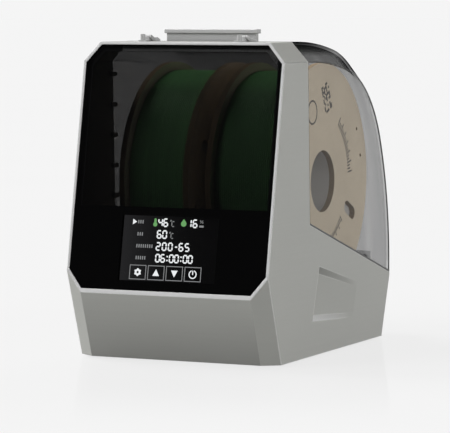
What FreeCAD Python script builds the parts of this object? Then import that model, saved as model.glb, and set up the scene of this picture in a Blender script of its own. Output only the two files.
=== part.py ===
import FreeCAD, Part
import math
import os

# Two-spool filament dryer box. Millimetres and degrees, +Z up, front towards -Y.
# The origin is the middle of the footprint, hinges included, on the surface it stands on.

# Body
WALL = 2.4
FRONT_LEAN = 10.65
LIP_HEIGHT = 55.0
FRONT_UNDERCUT = 20.0
REAR_UNDERCUT = 19.5
CORNER_WIDTH = 14.3
CORNER_DROP = 16.3
LOW_CORNER_DROP = 9.2
SEAM_BEVEL = 0.4
CREASE_ROUND = 1.2
FIT = 0.25

# Lid
BAND_DEPTH = 44.0
LID_FRONT_LEAN = 2.05
LID_LOW_SLOPE = 16.75
NOSE_HEIGHT = 50.0
LID_GAP = 0.6
SEAL_HEIGHT = 1.6
SEAL_REST_GAP = 0.1
CREST_RADIUS = 427.0
CREST_ANGLE = 10.8
SHOULDER_ROOM = 21.6
SHOULDER_ANGLE = 66.5
REAR_STRAIGHT = 14.65
TAB_COUNT = 5
TAB_PITCH = 25.7
TAB_DROP = 28.0
TAB_RADIUS = 2.0
TAB_REACH = 3.6
TAB_ROOT = 6.0
TAB_THICKNESS = 2.0

# Lid handle
HANDLE_SETBACK = 7.75
HANDLE_NECK_WIDTH = 81.8
HANDLE_NECK_DEPTH = 5.2
HANDLE_HEIGHT = 10.1
HANDLE_LIP = 3.5
HANDLE_OVERHANG = 1.7
HANDLE_ROUND = 0.6
HANDLE_SCREW_PITCH = 60.0

# Lid hinges
HINGE_INSET = 42.8
HINGE_WIDTH = 34.0
LID_KNUCKLE_WIDTH = 14.0
KNUCKLE_RADIUS = 4.0
KNUCKLE_GAP = 0.4
HINGE_RISE = 4.0
LEAF_LENGTH = 17.0
LEAF_THICKNESS = 3.0
LEAF_CLEAR = 5.0
HINGE_PIN_RADIUS = 1.5
LEAF_SCREW_PITCH = 22.0

# Front glass and display
RIM = 2.4
LOW_RIM = 3.4
GLASS_SET = 0.4
GLASS_THICKNESS = 3.0
GLASS_FIT = 0.15
LEDGE_WIDTH = 5.0
LEDGE_THICKNESS = 2.2
LEDGE_SPLIT = 4.0
LCD_WIDTH = 84.0
LCD_HEIGHT = 53.2
LCD_RISE = 11.5
LCD_BORDER = 2.6
LCD_THICKNESS = 3.5
BOARD_THICKNESS = 1.6
BOARD_STANDOFF = 5.0
BOARD_INSET = 6.0
BOARD_STANDOFF_RADIUS = 2.5
CHIP_HEIGHT = 2.4
CHIP_SIZE = 16.0
PLUG_BLOCK = 9.0
SHROUD_DEPTH = 26.0
SHROUD_MARGIN = 5.0
SHROUD_THICKNESS = 2.0
SENSOR_WIDTH = 16.0
SENSOR_HEIGHT = 14.0
SENSOR_THICKNESS = 4.0
SENSOR_SLOT = 1.6
SENSOR_DROP = 8.0

# Filament outlets on the top bridge
OUTLET_OFFSET = 43.8
OUTLET_SETBACK = 12.2
TUBE_RADIUS = 2.0
TUBE_BORE_RADIUS = 1.2
TUBE_HEIGHT = 6.2
TUBE_TAIL = 4.0
TUBE_FIT = 0.05
COLLAR_RADIUS = 4.0
COLLAR_HEIGHT = 1.2
CAP_SETBACK = 19.2
CAP_RADIUS = 6.0
CAP_HEIGHT = 3.0
CAP_PLATE = 1.3
CAP_SOCKET_GAP = 0.4
CAP_SOCKET_DEPTH = 2.0
CAP_PARK_GAP = 0.35
CAP_EYE_RADIUS = 1.5
CAP_EYE_WIDTH = 1.3
CAP_KNUCKLE_WIDTH = 3.5
CAP_EYE_GAP = 0.2
CAP_PIN_RADIUS = 0.8
PIN_CLEARANCE = 0.05

# Carrying recess in each side panel
GRIP_SETBACK = 108.7
GRIP_TOP = 73.4
GRIP_LENGTH = 83.6
GRIP_FALL = 20.1
GRIP_FRONT_HEIGHT = 44.4
GRIP_REAR_HEIGHT = 29.6
GRIP_SLANT = 18.3
GRIP_DEPTH = 8.0
GRIP_DRAFT = 4.0
GRIP_WALL = 2.6

# Chamber floor
BAY_HEIGHT = 34.0
FLOOR_THICKNESS = 2.5
RAIL_WIDTH = 6.0
RAIL_THICKNESS = 2.5
RAIL_LENGTH = 40.0
RAIL_SPREAD = 162.0
LEG_RADIUS = 4.5
LEG_INSET = 26.8
LEG_SPREAD_Y = 136.0
SLOT_WIDTH = 4.0
SLOT_PITCH = 9.0
SLOT_COUNT = 7
SLOT_LENGTH = 60.0

# Spools and rollers
SPOOL_RADIUS = 100.0
SPOOL_WIDTH = 63.5
SPOOL_GAP = 15.4
SPOOL_SHIFT = 2.65
SPOOL_FRONT_ROOM = 55.5
SPOOL_REAR_ROOM = 29.5
SPOOL_HEAD_ROOM = 18.772
SPOOL_BORE_RADIUS = 26.2
SPOOL_CORE_WALL = 8.0
FLANGE_THICKNESS = 4.8
FLANGE_WINDOW_WIDTH = 11.0
FLANGE_WINDOW_LENGTH = 25.0
FLANGE_WINDOW_REACH = 67.0
FLANGE_WINDOW_ANGLE = -25.0
FLANGE_EYE_RADIUS = 1.6
FLANGE_EYE_REACH = 87.0
FLANGE_EYE_ANGLES = (12.0, 28.5)
FLANGE_RISE = 7.0
WINDING_GAP = 0.15
WINDING_BANDS = 4
WINDING_GROOVE_WIDTH = 3.5
WINDING_GROOVE_DEPTH = 0.7
ROLLER_ANGLE = 33.0
ROLLER_RADIUS = 8.0
ROLLER_LIP_RADIUS = 10.0
ROLLER_LIP_WIDTH = 1.6
ROLLER_WAIST_RADIUS = 5.0
ROLLER_GROOVE_PLAY = 0.85
ROLLER_GAP = 0.3
ROLLER_END_GAP = 0.7
AXLE_RADIUS = 2.5
AXLE_RISE = 13.9
SADDLE_WIDTH = 3.0
SADDLE_DEPTH = 16.0
SADDLE_CAP = 2.6
SADDLE_ROOM = 0.4

# Fan and heater
FAN_SIZE = 80.0
FAN_THICKNESS = 15.0
FAN_DUCT_WALL = 2.5
FAN_POST_HEIGHT = 2.6
FAN_POST_RADIUS = 3.5
FAN_HOLE_INSET = 4.25
FAN_HOLE_RADIUS = 2.2
FAN_HUB_RADIUS = 16.0
FAN_STATOR_HEIGHT = 2.5
FAN_STATOR_RADIUS = 14.0
FAN_STRUT_WIDTH = 4.0
FAN_STRUT_COUNT = 4
FAN_AIR_GAP = 0.6
FAN_SHAFT_RADIUS = 1.5
BLADE_COUNT = 7
BLADE_THICKNESS = 1.2
BLADE_HEIGHT = 10.0
BLADE_PITCH = 38.0
BLADE_TIP_GAP = 1.5
HEATER_RAIL = 5.0
FIN_COUNT = 14
FIN_THICKNESS = 1.0
HEATER_BAR = 6.0
HEATER_BAR_COUNT = 3

# Base, feet and power
BASE_THICKNESS = 2.4
FOOT_HEIGHT = 1.5
FOOT_RADIUS = 9.0
FOOT_BEVEL = 0.4
FOOT_INSET = 22.8
FOOT_END_ROOM = 44.5
SCREW_RADIUS = 1.45
SCREW_HEAD_RADIUS = 2.8
SCREW_HEAD_HEIGHT = 1.4
SCREW_LENGTH = 12.0
SCREW_FIT = 0.05
INLET_INSET = 50.8
INLET_RISE = 19.5
INLET_FLANGE_WIDTH = 50.0
INLET_FLANGE_HEIGHT = 24.0
INLET_FLANGE_THICKNESS = 2.5
INLET_BODY_WIDTH = 27.0
INLET_BODY_HEIGHT = 20.0
INLET_BODY_DEPTH = 18.0
INLET_WALL = 1.6
INLET_FLOOR = 2.5
INLET_CORNER = 4.5
INLET_SCREW_PITCH = 40.0
PIN_BLADE_WIDTH = 2.0
PIN_BLADE_HEIGHT = 4.0
PIN_BLADE_LENGTH = 11.0
PIN_BLADE_PITCH = 14.0
PIN_EARTH_DROP = 4.0
PIN_TAIL = 4.0
BAY_MARGIN = 4.0
BAY_SETBACK = 19.0
VENT_COUNT = 7
VENT_WIDTH = 3.0
VENT_PITCH = 8.0
VENT_HEIGHT = 24.0
VENT_INSET = 50.8
POWER_BOARD_WIDTH = 76.0
POWER_BOARD_DEPTH = 42.0
POWER_BOARD_OFFSET_X = -18.0
POWER_BOARD_SETBACK = 59.0
POWER_POST_HEIGHT = 4.0
POWER_POST_RADIUS = 3.0
POWER_POST_INSET = 4.0
TRANSFORMER_SIZE = 24.0
TRANSFORMER_HEIGHT = 17.0
CAPACITOR_RADIUS = 6.0
CAPACITOR_HEIGHT = 20.0
CAPACITOR_PITCH = 16.0


# Derived places

def tan(angle):
    return math.tan(math.radians(angle))


def sin(angle):
    return math.sin(math.radians(angle))


def cos(angle):
    return math.cos(math.radians(angle))


BASE_Z = FOOT_HEIGHT
BASE_TOP_Z = BASE_Z + BASE_THICKNESS
FLOOR_Z = BASE_Z + BAY_HEIGHT
FLOOR_TOP_Z = FLOOR_Z + FLOOR_THICKNESS
AXLE_Z = FLOOR_TOP_Z + AXLE_RISE

SPOOL_OFFSET = (SPOOL_WIDTH + SPOOL_GAP) / 2
SPOOL_INNER_X = SPOOL_OFFSET - SPOOL_WIDTH / 2
SPOOL_OUTER_X = SPOOL_OFFSET + SPOOL_WIDTH / 2
ROLLER_INNER_X = SPOOL_INNER_X - ROLLER_GROOVE_PLAY - ROLLER_LIP_WIDTH
ROLLER_OUTER_X = SPOOL_OUTER_X + ROLLER_GROOVE_PLAY + ROLLER_LIP_WIDTH
SADDLE_END_X = ROLLER_OUTER_X + ROLLER_END_GAP + SADDLE_WIDTH
ROLLER_REACH = SPOOL_RADIUS + ROLLER_GAP + ROLLER_RADIUS
AXLE_SPREAD = ROLLER_REACH * sin(ROLLER_ANGLE)
SPOOL_Z = AXLE_Z + ROLLER_REACH * cos(ROLLER_ANGLE)
CORE_RADIUS = SPOOL_BORE_RADIUS + SPOOL_CORE_WALL
WINDING_RADIUS = SPOOL_RADIUS - FLANGE_RISE

HALF_WIDTH = SPOOL_SHIFT + SADDLE_END_X + SADDLE_ROOM + GRIP_DEPTH + WALL
BODY_DEPTH = SPOOL_FRONT_ROOM + 2 * SPOOL_RADIUS + SPOOL_REAR_ROOM
TOP_Z = SPOOL_Z + SPOOL_RADIUS + SPOOL_HEAD_ROOM
LIP_Z = BASE_Z + LIP_HEIGHT
HINGE_REACH = KNUCKLE_GAP + 2 * KNUCKLE_RADIUS
FRONT_Y = -(BODY_DEPTH + HINGE_REACH) / 2
REAR_Y = FRONT_Y + BODY_DEPTH
SPOOL_Y = FRONT_Y + SPOOL_FRONT_ROOM + SPOOL_RADIUS
FRONT_TOP_Y = FRONT_Y + (TOP_Z - LIP_Z) * tan(FRONT_LEAN)

# Lengths for cutting tools: past one wall, and past the whole body
OVERSHOOT = 10 * WALL
REACH = 2 * (HALF_WIDTH + BODY_DEPTH + TOP_Z)

SHOULDER_RADIUS = SPOOL_RADIUS + SHOULDER_ROOM
LID_Y = FRONT_TOP_Y + BAND_DEPTH
NOSE_Z = BASE_Z + NOSE_HEIGHT
LID_EDGE_RUN = REAR_Y - LID_Y - (TOP_Z - NOSE_Z) * tan(LID_FRONT_LEAN)
LID_LOW_RUN = LID_EDGE_RUN / (1 - tan(LID_FRONT_LEAN) * tan(LID_LOW_SLOPE))
LID_LOW_Y = REAR_Y - LID_LOW_RUN
LID_LOW_Z = NOSE_Z + LID_LOW_RUN * tan(LID_LOW_SLOPE)
ARCH_END_Z = NOSE_Z + REAR_STRAIGHT
ARCH_FALL = TOP_Z - ARCH_END_Z
CREST_FALL = CREST_RADIUS * (1 - cos(CREST_ANGLE))
SHOULDER_FALL = SHOULDER_RADIUS * (cos(CREST_ANGLE) - cos(SHOULDER_ANGLE))
BACK_RADIUS = (ARCH_FALL - CREST_FALL - SHOULDER_FALL) / cos(SHOULDER_ANGLE)
CREST_RUN = CREST_RADIUS * sin(CREST_ANGLE)
SHOULDER_RUN = SHOULDER_RADIUS * (sin(SHOULDER_ANGLE) - sin(CREST_ANGLE))
BACK_RUN = BACK_RADIUS * (1 - sin(SHOULDER_ANGLE))
ARCH_Y = REAR_Y - CREST_RUN - SHOULDER_RUN - BACK_RUN

CORNER_ANGLE = math.degrees(math.atan2(CORNER_DROP, CORNER_WIDTH))
LOW_CORNER_ANGLE = math.degrees(math.atan2(LOW_CORNER_DROP, CORNER_WIDTH))
CREASE_MITRE = tan(CORNER_ANGLE / 2)
SIDE_MITRE = tan((90 - CORNER_ANGLE) / 2)
LOW_MITRE = tan((90 - LOW_CORNER_ANGLE) / 2)
CREASE_X = HALF_WIDTH - CORNER_WIDTH

FAN_Z = BASE_TOP_Z + FAN_POST_HEIGHT
FAN_TOP_Z = FAN_Z + FAN_THICKNESS
FAN_DUCT_RADIUS = FAN_SIZE / 2 - FAN_DUCT_WALL
FAN_HOLE_PITCH = FAN_SIZE - 2 * FAN_HOLE_INSET

GLASS_BACK = GLASS_SET + GLASS_THICKNESS
OUTLET_Y = FRONT_TOP_Y + OUTLET_SETBACK
CAP_Y = OUTLET_Y + CAP_SETBACK
CAP_HINGE_Y = (OUTLET_Y + CAP_Y) / 2
CAP_LOW_Z = TOP_Z + CAP_PARK_GAP
TUBE_TOP_Z = TOP_Z + TUBE_HEIGHT
CAP_CLOSED_TOP_Z = TUBE_TOP_Z + CAP_SOCKET_GAP + CAP_HEIGHT - CAP_SOCKET_DEPTH
CAP_HINGE_Z = (CAP_LOW_Z + CAP_CLOSED_TOP_Z) / 2

HINGE_OFFSET = HALF_WIDTH - HINGE_INSET
HINGE_Y = REAR_Y + KNUCKLE_GAP + KNUCKLE_RADIUS
HINGE_Z = NOSE_Z + HINGE_RISE

INLET_OFFSET = HALF_WIDTH - INLET_INSET
VENT_OFFSET = VENT_INSET - HALF_WIDTH
INLET_Z = BASE_Z + INLET_RISE
INLET_Y = REAR_Y - BAY_SETBACK
POWER_BOARD_Y = REAR_Y - POWER_BOARD_SETBACK
POWER_BOARD_Z = BASE_TOP_Z + POWER_POST_HEIGHT

LEG_PLACES = [
    (side * (HALF_WIDTH - LEG_INSET), SPOOL_Y + row * LEG_SPREAD_Y / 2)
    for side in (-1, 1)
    for row in (-1, 0, 1)
]
FOOT_PLACES = [
    (side * (HALF_WIDTH - FOOT_INSET), row * (BODY_DEPTH / 2 - FOOT_END_ROOM) + (FRONT_Y + REAR_Y) / 2)
    for side in (-1, 1)
    for row in (-1, 1)
]
SIDES = (("left", -1), ("right", 1))


# Geometry helpers

def vec(x, y, z):
    return FreeCAD.Vector(x, y, z)


X_AXIS = vec(1, 0, 0)
Y_AXIS = vec(0, 1, 0)
Z_AXIS = vec(0, 0, 1)


def box(x, y, z):
    """A box from three (low, high) pairs."""
    size = (x[1] - x[0], y[1] - y[0], z[1] - z[0])
    return Part.makeBox(*size, vec(x[0], y[0], z[0]))


def around(centre, size):
    """The (low, high) pair of a length centred on a value."""
    return (centre - size / 2, centre + size / 2)


def rod_x(radius, x, y, z):
    """A cylinder along X between a (low, high) pair."""
    return Part.makeCylinder(radius, x[1] - x[0], vec(x[0], y, z), X_AXIS)


def rod_z(radius, x, y, z):
    """A cylinder along Z between a (low, high) pair."""
    return Part.makeCylinder(radius, z[1] - z[0], vec(x, y, z[0]), Z_AXIS)


def ring_x(outer, inner, x, y, z):
    """A tube along X."""
    return rod_x(outer, x, y, z).cut(rod_x(inner, x, y, z))


def ring_z(outer, inner, x, y, z):
    """A tube along Z."""
    return rod_z(outer, x, y, z).cut(rod_z(inner, x, y, z))


def prism(points, x):
    """A polygon of (y, z) points drawn out along X between a (low, high) pair."""
    corners = [vec(x[0], y, z) for y, z in points]
    return flat_face(corners).extrude(vec(x[1] - x[0], 0, 0))


def flat_face(points):
    """A flat face from its corners."""
    return Part.Face(Part.makePolygon(points + points[:1]))


def polyhedron(faces):
    """A solid from its flat faces, each a list of points."""
    return Part.Solid(Part.Shell([flat_face(points) for points in faces]))


def merged(shapes):
    """Several touching solids as one clean solid."""
    return shapes[0].multiFuse(shapes[1:]).removeSplitter()


def mirrored(shape):
    """The same piece on the other side of the object's middle."""
    return shape.mirror(vec(0, 0, 0), X_AXIS)


def cross(line_a, line_b):
    """Where two (point, direction) lines meet in the side view."""
    (ay, az), (ady, adz) = line_a
    (by, bz), (bdy, bdz) = line_b
    step = ((by - ay) * bdz - (bz - az) * bdy) / (ady * bdz - adz * bdy)
    return (ay + step * ady, az + step * adz)


def save(node, shape):
    """Write one node's solids, all of which have to be sound."""
    solids = shape.Solids
    if not solids or not shape.isValid():
        raise ValueError("unsound shape in " + node)
    whole = solids[0] if len(solids) == 1 else Part.Compound(solids)
    whole.exportStep(os.path.join("parts", node + ".step"))


# Body outline

FRONT_LINE_RUN = (tan(FRONT_LEAN), 1.0)
FRONT_LOW_RUN = (tan(FRONT_UNDERCUT), -1.0)
REAR_LOW_RUN = (-tan(REAR_UNDERCUT), -1.0)


def front_line(inset):
    return ((FRONT_Y + inset / cos(FRONT_LEAN), LIP_Z), FRONT_LINE_RUN)


def front_low_line(inset):
    return ((FRONT_Y + inset / cos(FRONT_UNDERCUT), LIP_Z), FRONT_LOW_RUN)


def rear_low_line(inset):
    return ((REAR_Y - inset / cos(REAR_UNDERCUT), NOSE_Z), REAR_LOW_RUN)


def level_line(z):
    return ((0.0, z), (1.0, 0.0))


def upright_line(y):
    return ((y, 0.0), (0.0, 1.0))


def arch_points(inset):
    """Ends and middles of the lid's three arcs, from the crest to the rear wall."""
    points = []
    centre = (ARCH_Y, TOP_Z - CREST_RADIUS)
    arcs = ((CREST_RADIUS, 0.0, CREST_ANGLE), (SHOULDER_RADIUS, CREST_ANGLE, SHOULDER_ANGLE),
            (BACK_RADIUS, SHOULDER_ANGLE, 90.0))
    last_radius = CREST_RADIUS
    for radius, start, stop in arcs:
        shift = last_radius - radius
        centre = (centre[0] + shift * sin(start), centre[1] + shift * cos(start))
        for angle in (start, (start + stop) / 2, stop):
            reach = radius - inset
            points.append((centre[0] + reach * sin(angle), centre[1] + reach * cos(angle)))
        last_radius = radius
    return points


def outline(x, arch, low, front, base):
    """The body's closed outline at one X, each side moved inward by its own amount."""
    base_line = level_line(BASE_Z + base)
    base_front = cross(front_low_line(low), base_line)
    lip = cross(front_line(front), front_low_line(low))
    front_top = cross(front_line(front), level_line(TOP_Z - arch))
    nose = cross(upright_line(REAR_Y - arch), rear_low_line(arch))
    base_rear = cross(rear_low_line(arch), base_line)
    curve = [vec(x, y, z) for y, z in arch_points(arch)]
    straight = [vec(x, y, z) for y, z in (base_front, lip, front_top)]
    tail = [vec(x, y, z) for y, z in (nose, base_rear)]
    edges = [Part.makeLine(a, b) for a, b in zip(straight, straight[1:] + curve[:1])]
    edges += [Part.Arc(*curve[i:i + 3]).toShape() for i in range(0, len(curve), 3)]
    edges += [Part.makeLine(a, b) for a, b in zip(curve[-1:] + tail, tail + straight[:1])]
    return Part.Wire(edges)


def side_outline(x, inset, front, base):
    """The outline on a side face."""
    arch = CORNER_DROP + inset * SIDE_MITRE
    low = LOW_CORNER_DROP + inset * LOW_MITRE
    return outline(x, arch, low, front, base)


def hull(inset, front, base):
    """The body's whole form with its corner facets, moved inward by one wall."""
    side_x = HALF_WIDTH - inset
    crease_x = CREASE_X - inset * CREASE_MITRE
    sections = [side_outline(-side_x, inset, front, base)]
    sections += [outline(x, inset, inset, front, base) for x in (-crease_x, crease_x)]
    sections += [side_outline(side_x, inset, front, base)]
    return Part.makeLoft(sections, True, True)


def rounded_hull():
    """The body's whole form with its long creases eased."""
    form = hull(0, 0, 0)
    creases = []
    for edge in form.Edges:
        if all(math.isclose(abs(vertex.X), CREASE_X) for vertex in edge.Vertexes):
            if math.isclose(edge.Vertexes[0].X, edge.Vertexes[-1].X):
                creases.append(edge)
    return form.makeFillet(CREASE_ROUND, creases)


def side_blank(bevel):
    """The right side face as a plate with mitred edges, up to the roof line."""
    sections = [side_outline(HALF_WIDTH - WALL, WALL, 0, 0)]
    if bevel:
        sections.append(side_outline(HALF_WIDTH - bevel, bevel, 0, 0))
        arch = CORNER_DROP + bevel
        low = LOW_CORNER_DROP + bevel
        sections.append(outline(HALF_WIDTH, arch, low, bevel, bevel))
    else:
        sections.append(side_outline(HALF_WIDTH, 0, 0, 0))
    return Part.makeLoft(sections, True, True)


def lid_zone(front_gap, low_gap):
    """The space that the lid takes up: behind its front edge and above its sloping lower edge."""
    front = ((LID_Y + front_gap / cos(LID_FRONT_LEAN), TOP_Z), (-tan(LID_FRONT_LEAN), 1.0))
    low = ((LID_LOW_Y, LID_LOW_Z + low_gap / cos(LID_LOW_SLOPE)), (1.0, -tan(LID_LOW_SLOPE)))
    corner = cross(front, low)
    upper = cross(front, level_line(REACH))
    rear = cross(low, upright_line(REACH))
    return prism([corner, upper, (REACH, REACH), rear], (-REACH, REACH))


# Front glass plane

def pane_point(across, up, depth):
    """A point given across the glass, up along it from the lip, and inward from its plane."""
    y = FRONT_Y + up * sin(FRONT_LEAN) + depth * cos(FRONT_LEAN)
    z = LIP_Z + up * cos(FRONT_LEAN) - depth * sin(FRONT_LEAN)
    return vec(across, y, z)


def pane_prism(points, depth):
    """A polygon of (across, up) points drawn inward between two depths."""
    corners = [pane_point(across, up, depth[0]) for across, up in points]
    return flat_face(corners).extrude(pane_point(0, 0, depth[1]) - pane_point(0, 0, depth[0]))


def pane_box(across, up, depth):
    corners = [(across[0], up[0]), (across[1], up[0]), (across[1], up[1]), (across[0], up[1])]
    return pane_prism(corners, depth)


def pane_rod(radius, across, up, depth):
    start = pane_point(across, up, depth[0])
    return Part.makeCylinder(radius, depth[1] - depth[0], start, pane_point(0, 0, 1) - pane_point(0, 0, 0))


def pane_height(z):
    return (z - LIP_Z) / cos(FRONT_LEAN)


SIDE_LOW_Z = cross(front_line(0), front_low_line(LOW_CORNER_DROP))[1]
SIDE_HIGH_Z = TOP_Z - CORNER_DROP


def octagon(rim, low_rim):
    """The front's eight-sided outline, inset by a rim and a lower rim."""
    corners = [(CREASE_X, 0.0), (HALF_WIDTH, pane_height(SIDE_LOW_Z)),
               (HALF_WIDTH, pane_height(SIDE_HIGH_Z)), (CREASE_X, pane_height(TOP_Z))]
    corners += [(-across, up) for across, up in reversed(corners)]
    rims = [rim] * (len(corners) - 1) + [low_rim]
    lines = []
    for index, start in enumerate(corners):
        stop = corners[(index + 1) % len(corners)]
        run = (stop[0] - start[0], stop[1] - start[1])
        shift = rims[index] / math.hypot(*run)
        lines.append(((start[0] - run[1] * shift, start[1] + run[0] * shift), run))
    return [cross(lines[index - 1], lines[index]) for index in range(len(lines))]


def glass_pocket():
    return pane_prism(octagon(RIM, LOW_RIM), (-RIM, GLASS_BACK))


def front_glass():
    inset = GLASS_FIT
    return pane_prism(octagon(RIM + inset, LOW_RIM + inset), (GLASS_SET, GLASS_BACK))


def glass_ledge():
    """The shelf behind the glass's edge, all the way round."""
    depth = (GLASS_BACK, GLASS_BACK + LEDGE_THICKNESS)
    window = pane_prism(octagon(RIM + LEDGE_WIDTH, LOW_RIM + LEDGE_WIDTH), (0, 2 * depth[1]))
    return pane_prism(octagon(0, 0), depth).common(hull(0, 0, 0)).cut(window)


# Carrying recess

def grip_corners(margin):
    """Front top, front bottom, rear bottom and rear top corner of the recess's mouth."""
    front_y = FRONT_Y + GRIP_SETBACK
    top_z = BASE_Z + GRIP_TOP
    rear_y = front_y + GRIP_LENGTH
    rear_z = top_z - GRIP_FALL
    slant = tan(GRIP_SLANT)
    front = ((front_y - margin, top_z), (slant, 1.0))
    rear = ((rear_y + margin, rear_z), (slant, 1.0))
    top = ((front_y, top_z + margin), (GRIP_LENGTH, -GRIP_FALL))
    low_front = (front_y - slant * GRIP_FRONT_HEIGHT, top_z - GRIP_FRONT_HEIGHT - margin)
    low_rear = (rear_y - slant * GRIP_REAR_HEIGHT, rear_z - GRIP_REAR_HEIGHT - margin)
    low = (low_front, (low_rear[0] - low_front[0], low_rear[1] - low_front[1]))
    return [cross(front, top), cross(front, low), cross(rear, low), cross(rear, top)]


def grip_wedge(corners, mouth_x, front_x, rear_x):
    """A solid between the mouth and a floor that runs from deep in front to shallow behind."""
    outer = [vec(mouth_x, y, z) for y, z in corners]
    depths = (front_x, front_x, rear_x, rear_x)
    inner = [vec(x, y, z) for x, (y, z) in zip(depths, corners)]
    walls = [[outer[i - 1], outer[i], inner[i], inner[i - 1]] for i in range(len(outer))]
    return polyhedron([outer, inner] + walls)


def ruled(edge_a, edge_b):
    """The surface between two straight edges, each a pair of points."""
    return Part.makeRuledSurface(Part.makeLine(*edge_a), Part.makeLine(*edge_b))


def grip_recess():
    """The hollow for the fingers, whose upper and lower walls keep their width and flatten rearward."""
    corners = grip_corners(0)
    mouth = [vec(HALF_WIDTH, y, z) for y, z in corners]
    front_top, front_low, rear_low, rear_top = mouth
    front_draft = (front_low - front_top) * (GRIP_DRAFT / GRIP_FRONT_HEIGHT)
    rear_draft = (rear_low - rear_top) * (GRIP_DRAFT / GRIP_REAR_HEIGHT)
    inward = vec(-GRIP_DEPTH, 0, 0)
    deep_top = front_top + front_draft + inward
    deep_low = front_low - front_draft + inward
    end_top = rear_top + rear_draft
    end_low = rear_low - rear_draft
    flats = [[front_top, front_low, rear_low, end_low, end_top, rear_top],
             [front_top, front_low, deep_low, deep_top],
             [deep_top, deep_low, end_low, end_top]]
    faces = [flat_face(points) for points in flats]
    faces.append(ruled((front_top, rear_top), (deep_top, end_top)))
    faces.append(ruled((front_low, rear_low), (deep_low, end_low)))
    return Part.Solid(Part.Shell(faces))


def grip_pocket(margin):
    """The outside of the recess's own wall, inside the panel."""
    front_x = HALF_WIDTH - GRIP_DEPTH - WALL - margin
    return grip_wedge(grip_corners(GRIP_WALL + margin), HALF_WIDTH - WALL / 2, front_x,
                      HALF_WIDTH - WALL - margin)


# Housing

def side_panel(blank, ledge):
    """Right side panel: plate, glass ledge, floor rails and carrying recess."""
    inner_x = HALF_WIDTH - WALL
    shelf_z = (SIDE_LOW_Z + LEDGE_SPLIT, SIDE_HIGH_Z - LEDGE_SPLIT)
    shelf = ledge.common(box((0, REACH), (-REACH, REACH), shelf_z))
    pieces = [blank.cut(lid_zone(0, 0)), shelf, grip_pocket(0)] + lid_tabs()
    rail_x = (inner_x - RAIL_WIDTH, inner_x + WALL / 2)
    for row in (-1, 1):
        rail_y = around(SPOOL_Y + row * RAIL_SPREAD / 2, RAIL_LENGTH)
        pieces.append(box(rail_x, rail_y, (FLOOR_Z - RAIL_THICKNESS, FLOOR_Z)))
    return merged(pieces).cut(glass_pocket()).cut(grip_recess())


def lid_tabs():
    """Small tongues behind the panel's rear edge that guide the lid's pane as it closes."""
    inner_x = HALF_WIDTH - WALL
    shapes = []
    for index in range(TAB_COUNT):
        z = TOP_Z - TAB_DROP - index * TAB_PITCH
        edge_y = LID_Y + (TOP_Z - z) * tan(LID_FRONT_LEAN)
        tip_y = edge_y + TAB_REACH - TAB_RADIUS
        tongue_x = (inner_x - TAB_THICKNESS - FIT, inner_x - FIT)
        height = around(z, 2 * TAB_RADIUS)
        shapes.append(box(tongue_x, (edge_y - TAB_ROOT, tip_y), height))
        shapes.append(rod_x(TAB_RADIUS, tongue_x, tip_y, z))
        root_y = (edge_y - TAB_ROOT, edge_y - TAB_RADIUS)
        shapes.append(box((tongue_x[0], inner_x + WALL / 2), root_y, height))
    return shapes


def top_bridge(hoop, ledge, blanks):
    """The band over the glass with its corner facets, and holes for the outlet tubes."""
    zone = box((-REACH, REACH), (-REACH, LID_LOW_Y), (SIDE_HIGH_Z - CORNER_DROP, REACH))
    shelf = ledge.common(box((-REACH, REACH), (-REACH, REACH), (SIDE_HIGH_Z - LEDGE_SPLIT, REACH)))
    for blank in blanks:
        shelf = shelf.cut(blank)
    bridge = merged([hoop.common(zone).cut(lid_zone(0, 0)), shelf]).cut(glass_pocket())
    for _, side in SIDES:
        hole_x = side * OUTLET_OFFSET
        bridge = bridge.cut(rod_z(TUBE_RADIUS + TUBE_FIT, hole_x, OUTLET_Y, (SIDE_HIGH_Z, REACH)))
    return bridge


def front_lower_cover(hoop, ledge, blanks):
    """The undercut cover below the glass."""
    zone = box((-REACH, REACH), (-REACH, SPOOL_Y), (0, SIDE_LOW_Z + LOW_CORNER_DROP))
    shelf = ledge.common(box((-REACH, REACH), (-REACH, REACH), (0, SIDE_LOW_Z + LEDGE_SPLIT)))
    for blank in blanks:
        shelf = shelf.cut(blank)
    return merged([hoop.common(zone), shelf]).cut(glass_pocket())


def inlet_bay(margin):
    """The upright recess in the rear cover that holds the power inlet."""
    width = INLET_FLANGE_WIDTH + 2 * BAY_MARGIN + 2 * margin
    height = INLET_FLANGE_HEIGHT + 2 * margin
    return box(around(INLET_OFFSET, width), (INLET_Y - margin, REACH), around(INLET_Z, height))


def inlet_screw_holes():
    """The two holes that the inlet's screws pass through."""
    places = [INLET_OFFSET + side * INLET_SCREW_PITCH / 2 for side in (-1, 1)]
    radius = SCREW_RADIUS + SCREW_FIT
    return [Part.makeCylinder(radius, REACH, vec(x, SPOOL_Y, INLET_Z), Y_AXIS) for x in places]


def rear_cover(hoop):
    """The undercut rear wall with the inlet bay, vents and hinge screw holes."""
    zone = box((-REACH, REACH), (SPOOL_Y, REACH), (0, LID_LOW_Z))
    bay = inlet_bay(WALL).common(hull(0, 0, 0))
    cover = merged([hoop.common(zone).cut(lid_zone(0, 0)), bay]).cut(inlet_bay(0))
    body = box(around(INLET_OFFSET, INLET_BODY_WIDTH + 2 * FIT), (SPOOL_Y, REACH),
               around(INLET_Z, INLET_BODY_HEIGHT + 2 * FIT))
    cover = cover.cut(body)
    for hole in inlet_screw_holes():
        cover = cover.cut(hole)
    for index in range(VENT_COUNT):
        vent_x = VENT_OFFSET + (index - (VENT_COUNT - 1) / 2) * VENT_PITCH
        cover = cover.cut(box(around(vent_x, VENT_WIDTH), (SPOOL_Y, REACH), around(INLET_Z, VENT_HEIGHT)))
    for screw in body_leaf_screws(SCREW_FIT):
        cover = cover.cut(screw)
    return cover


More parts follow.
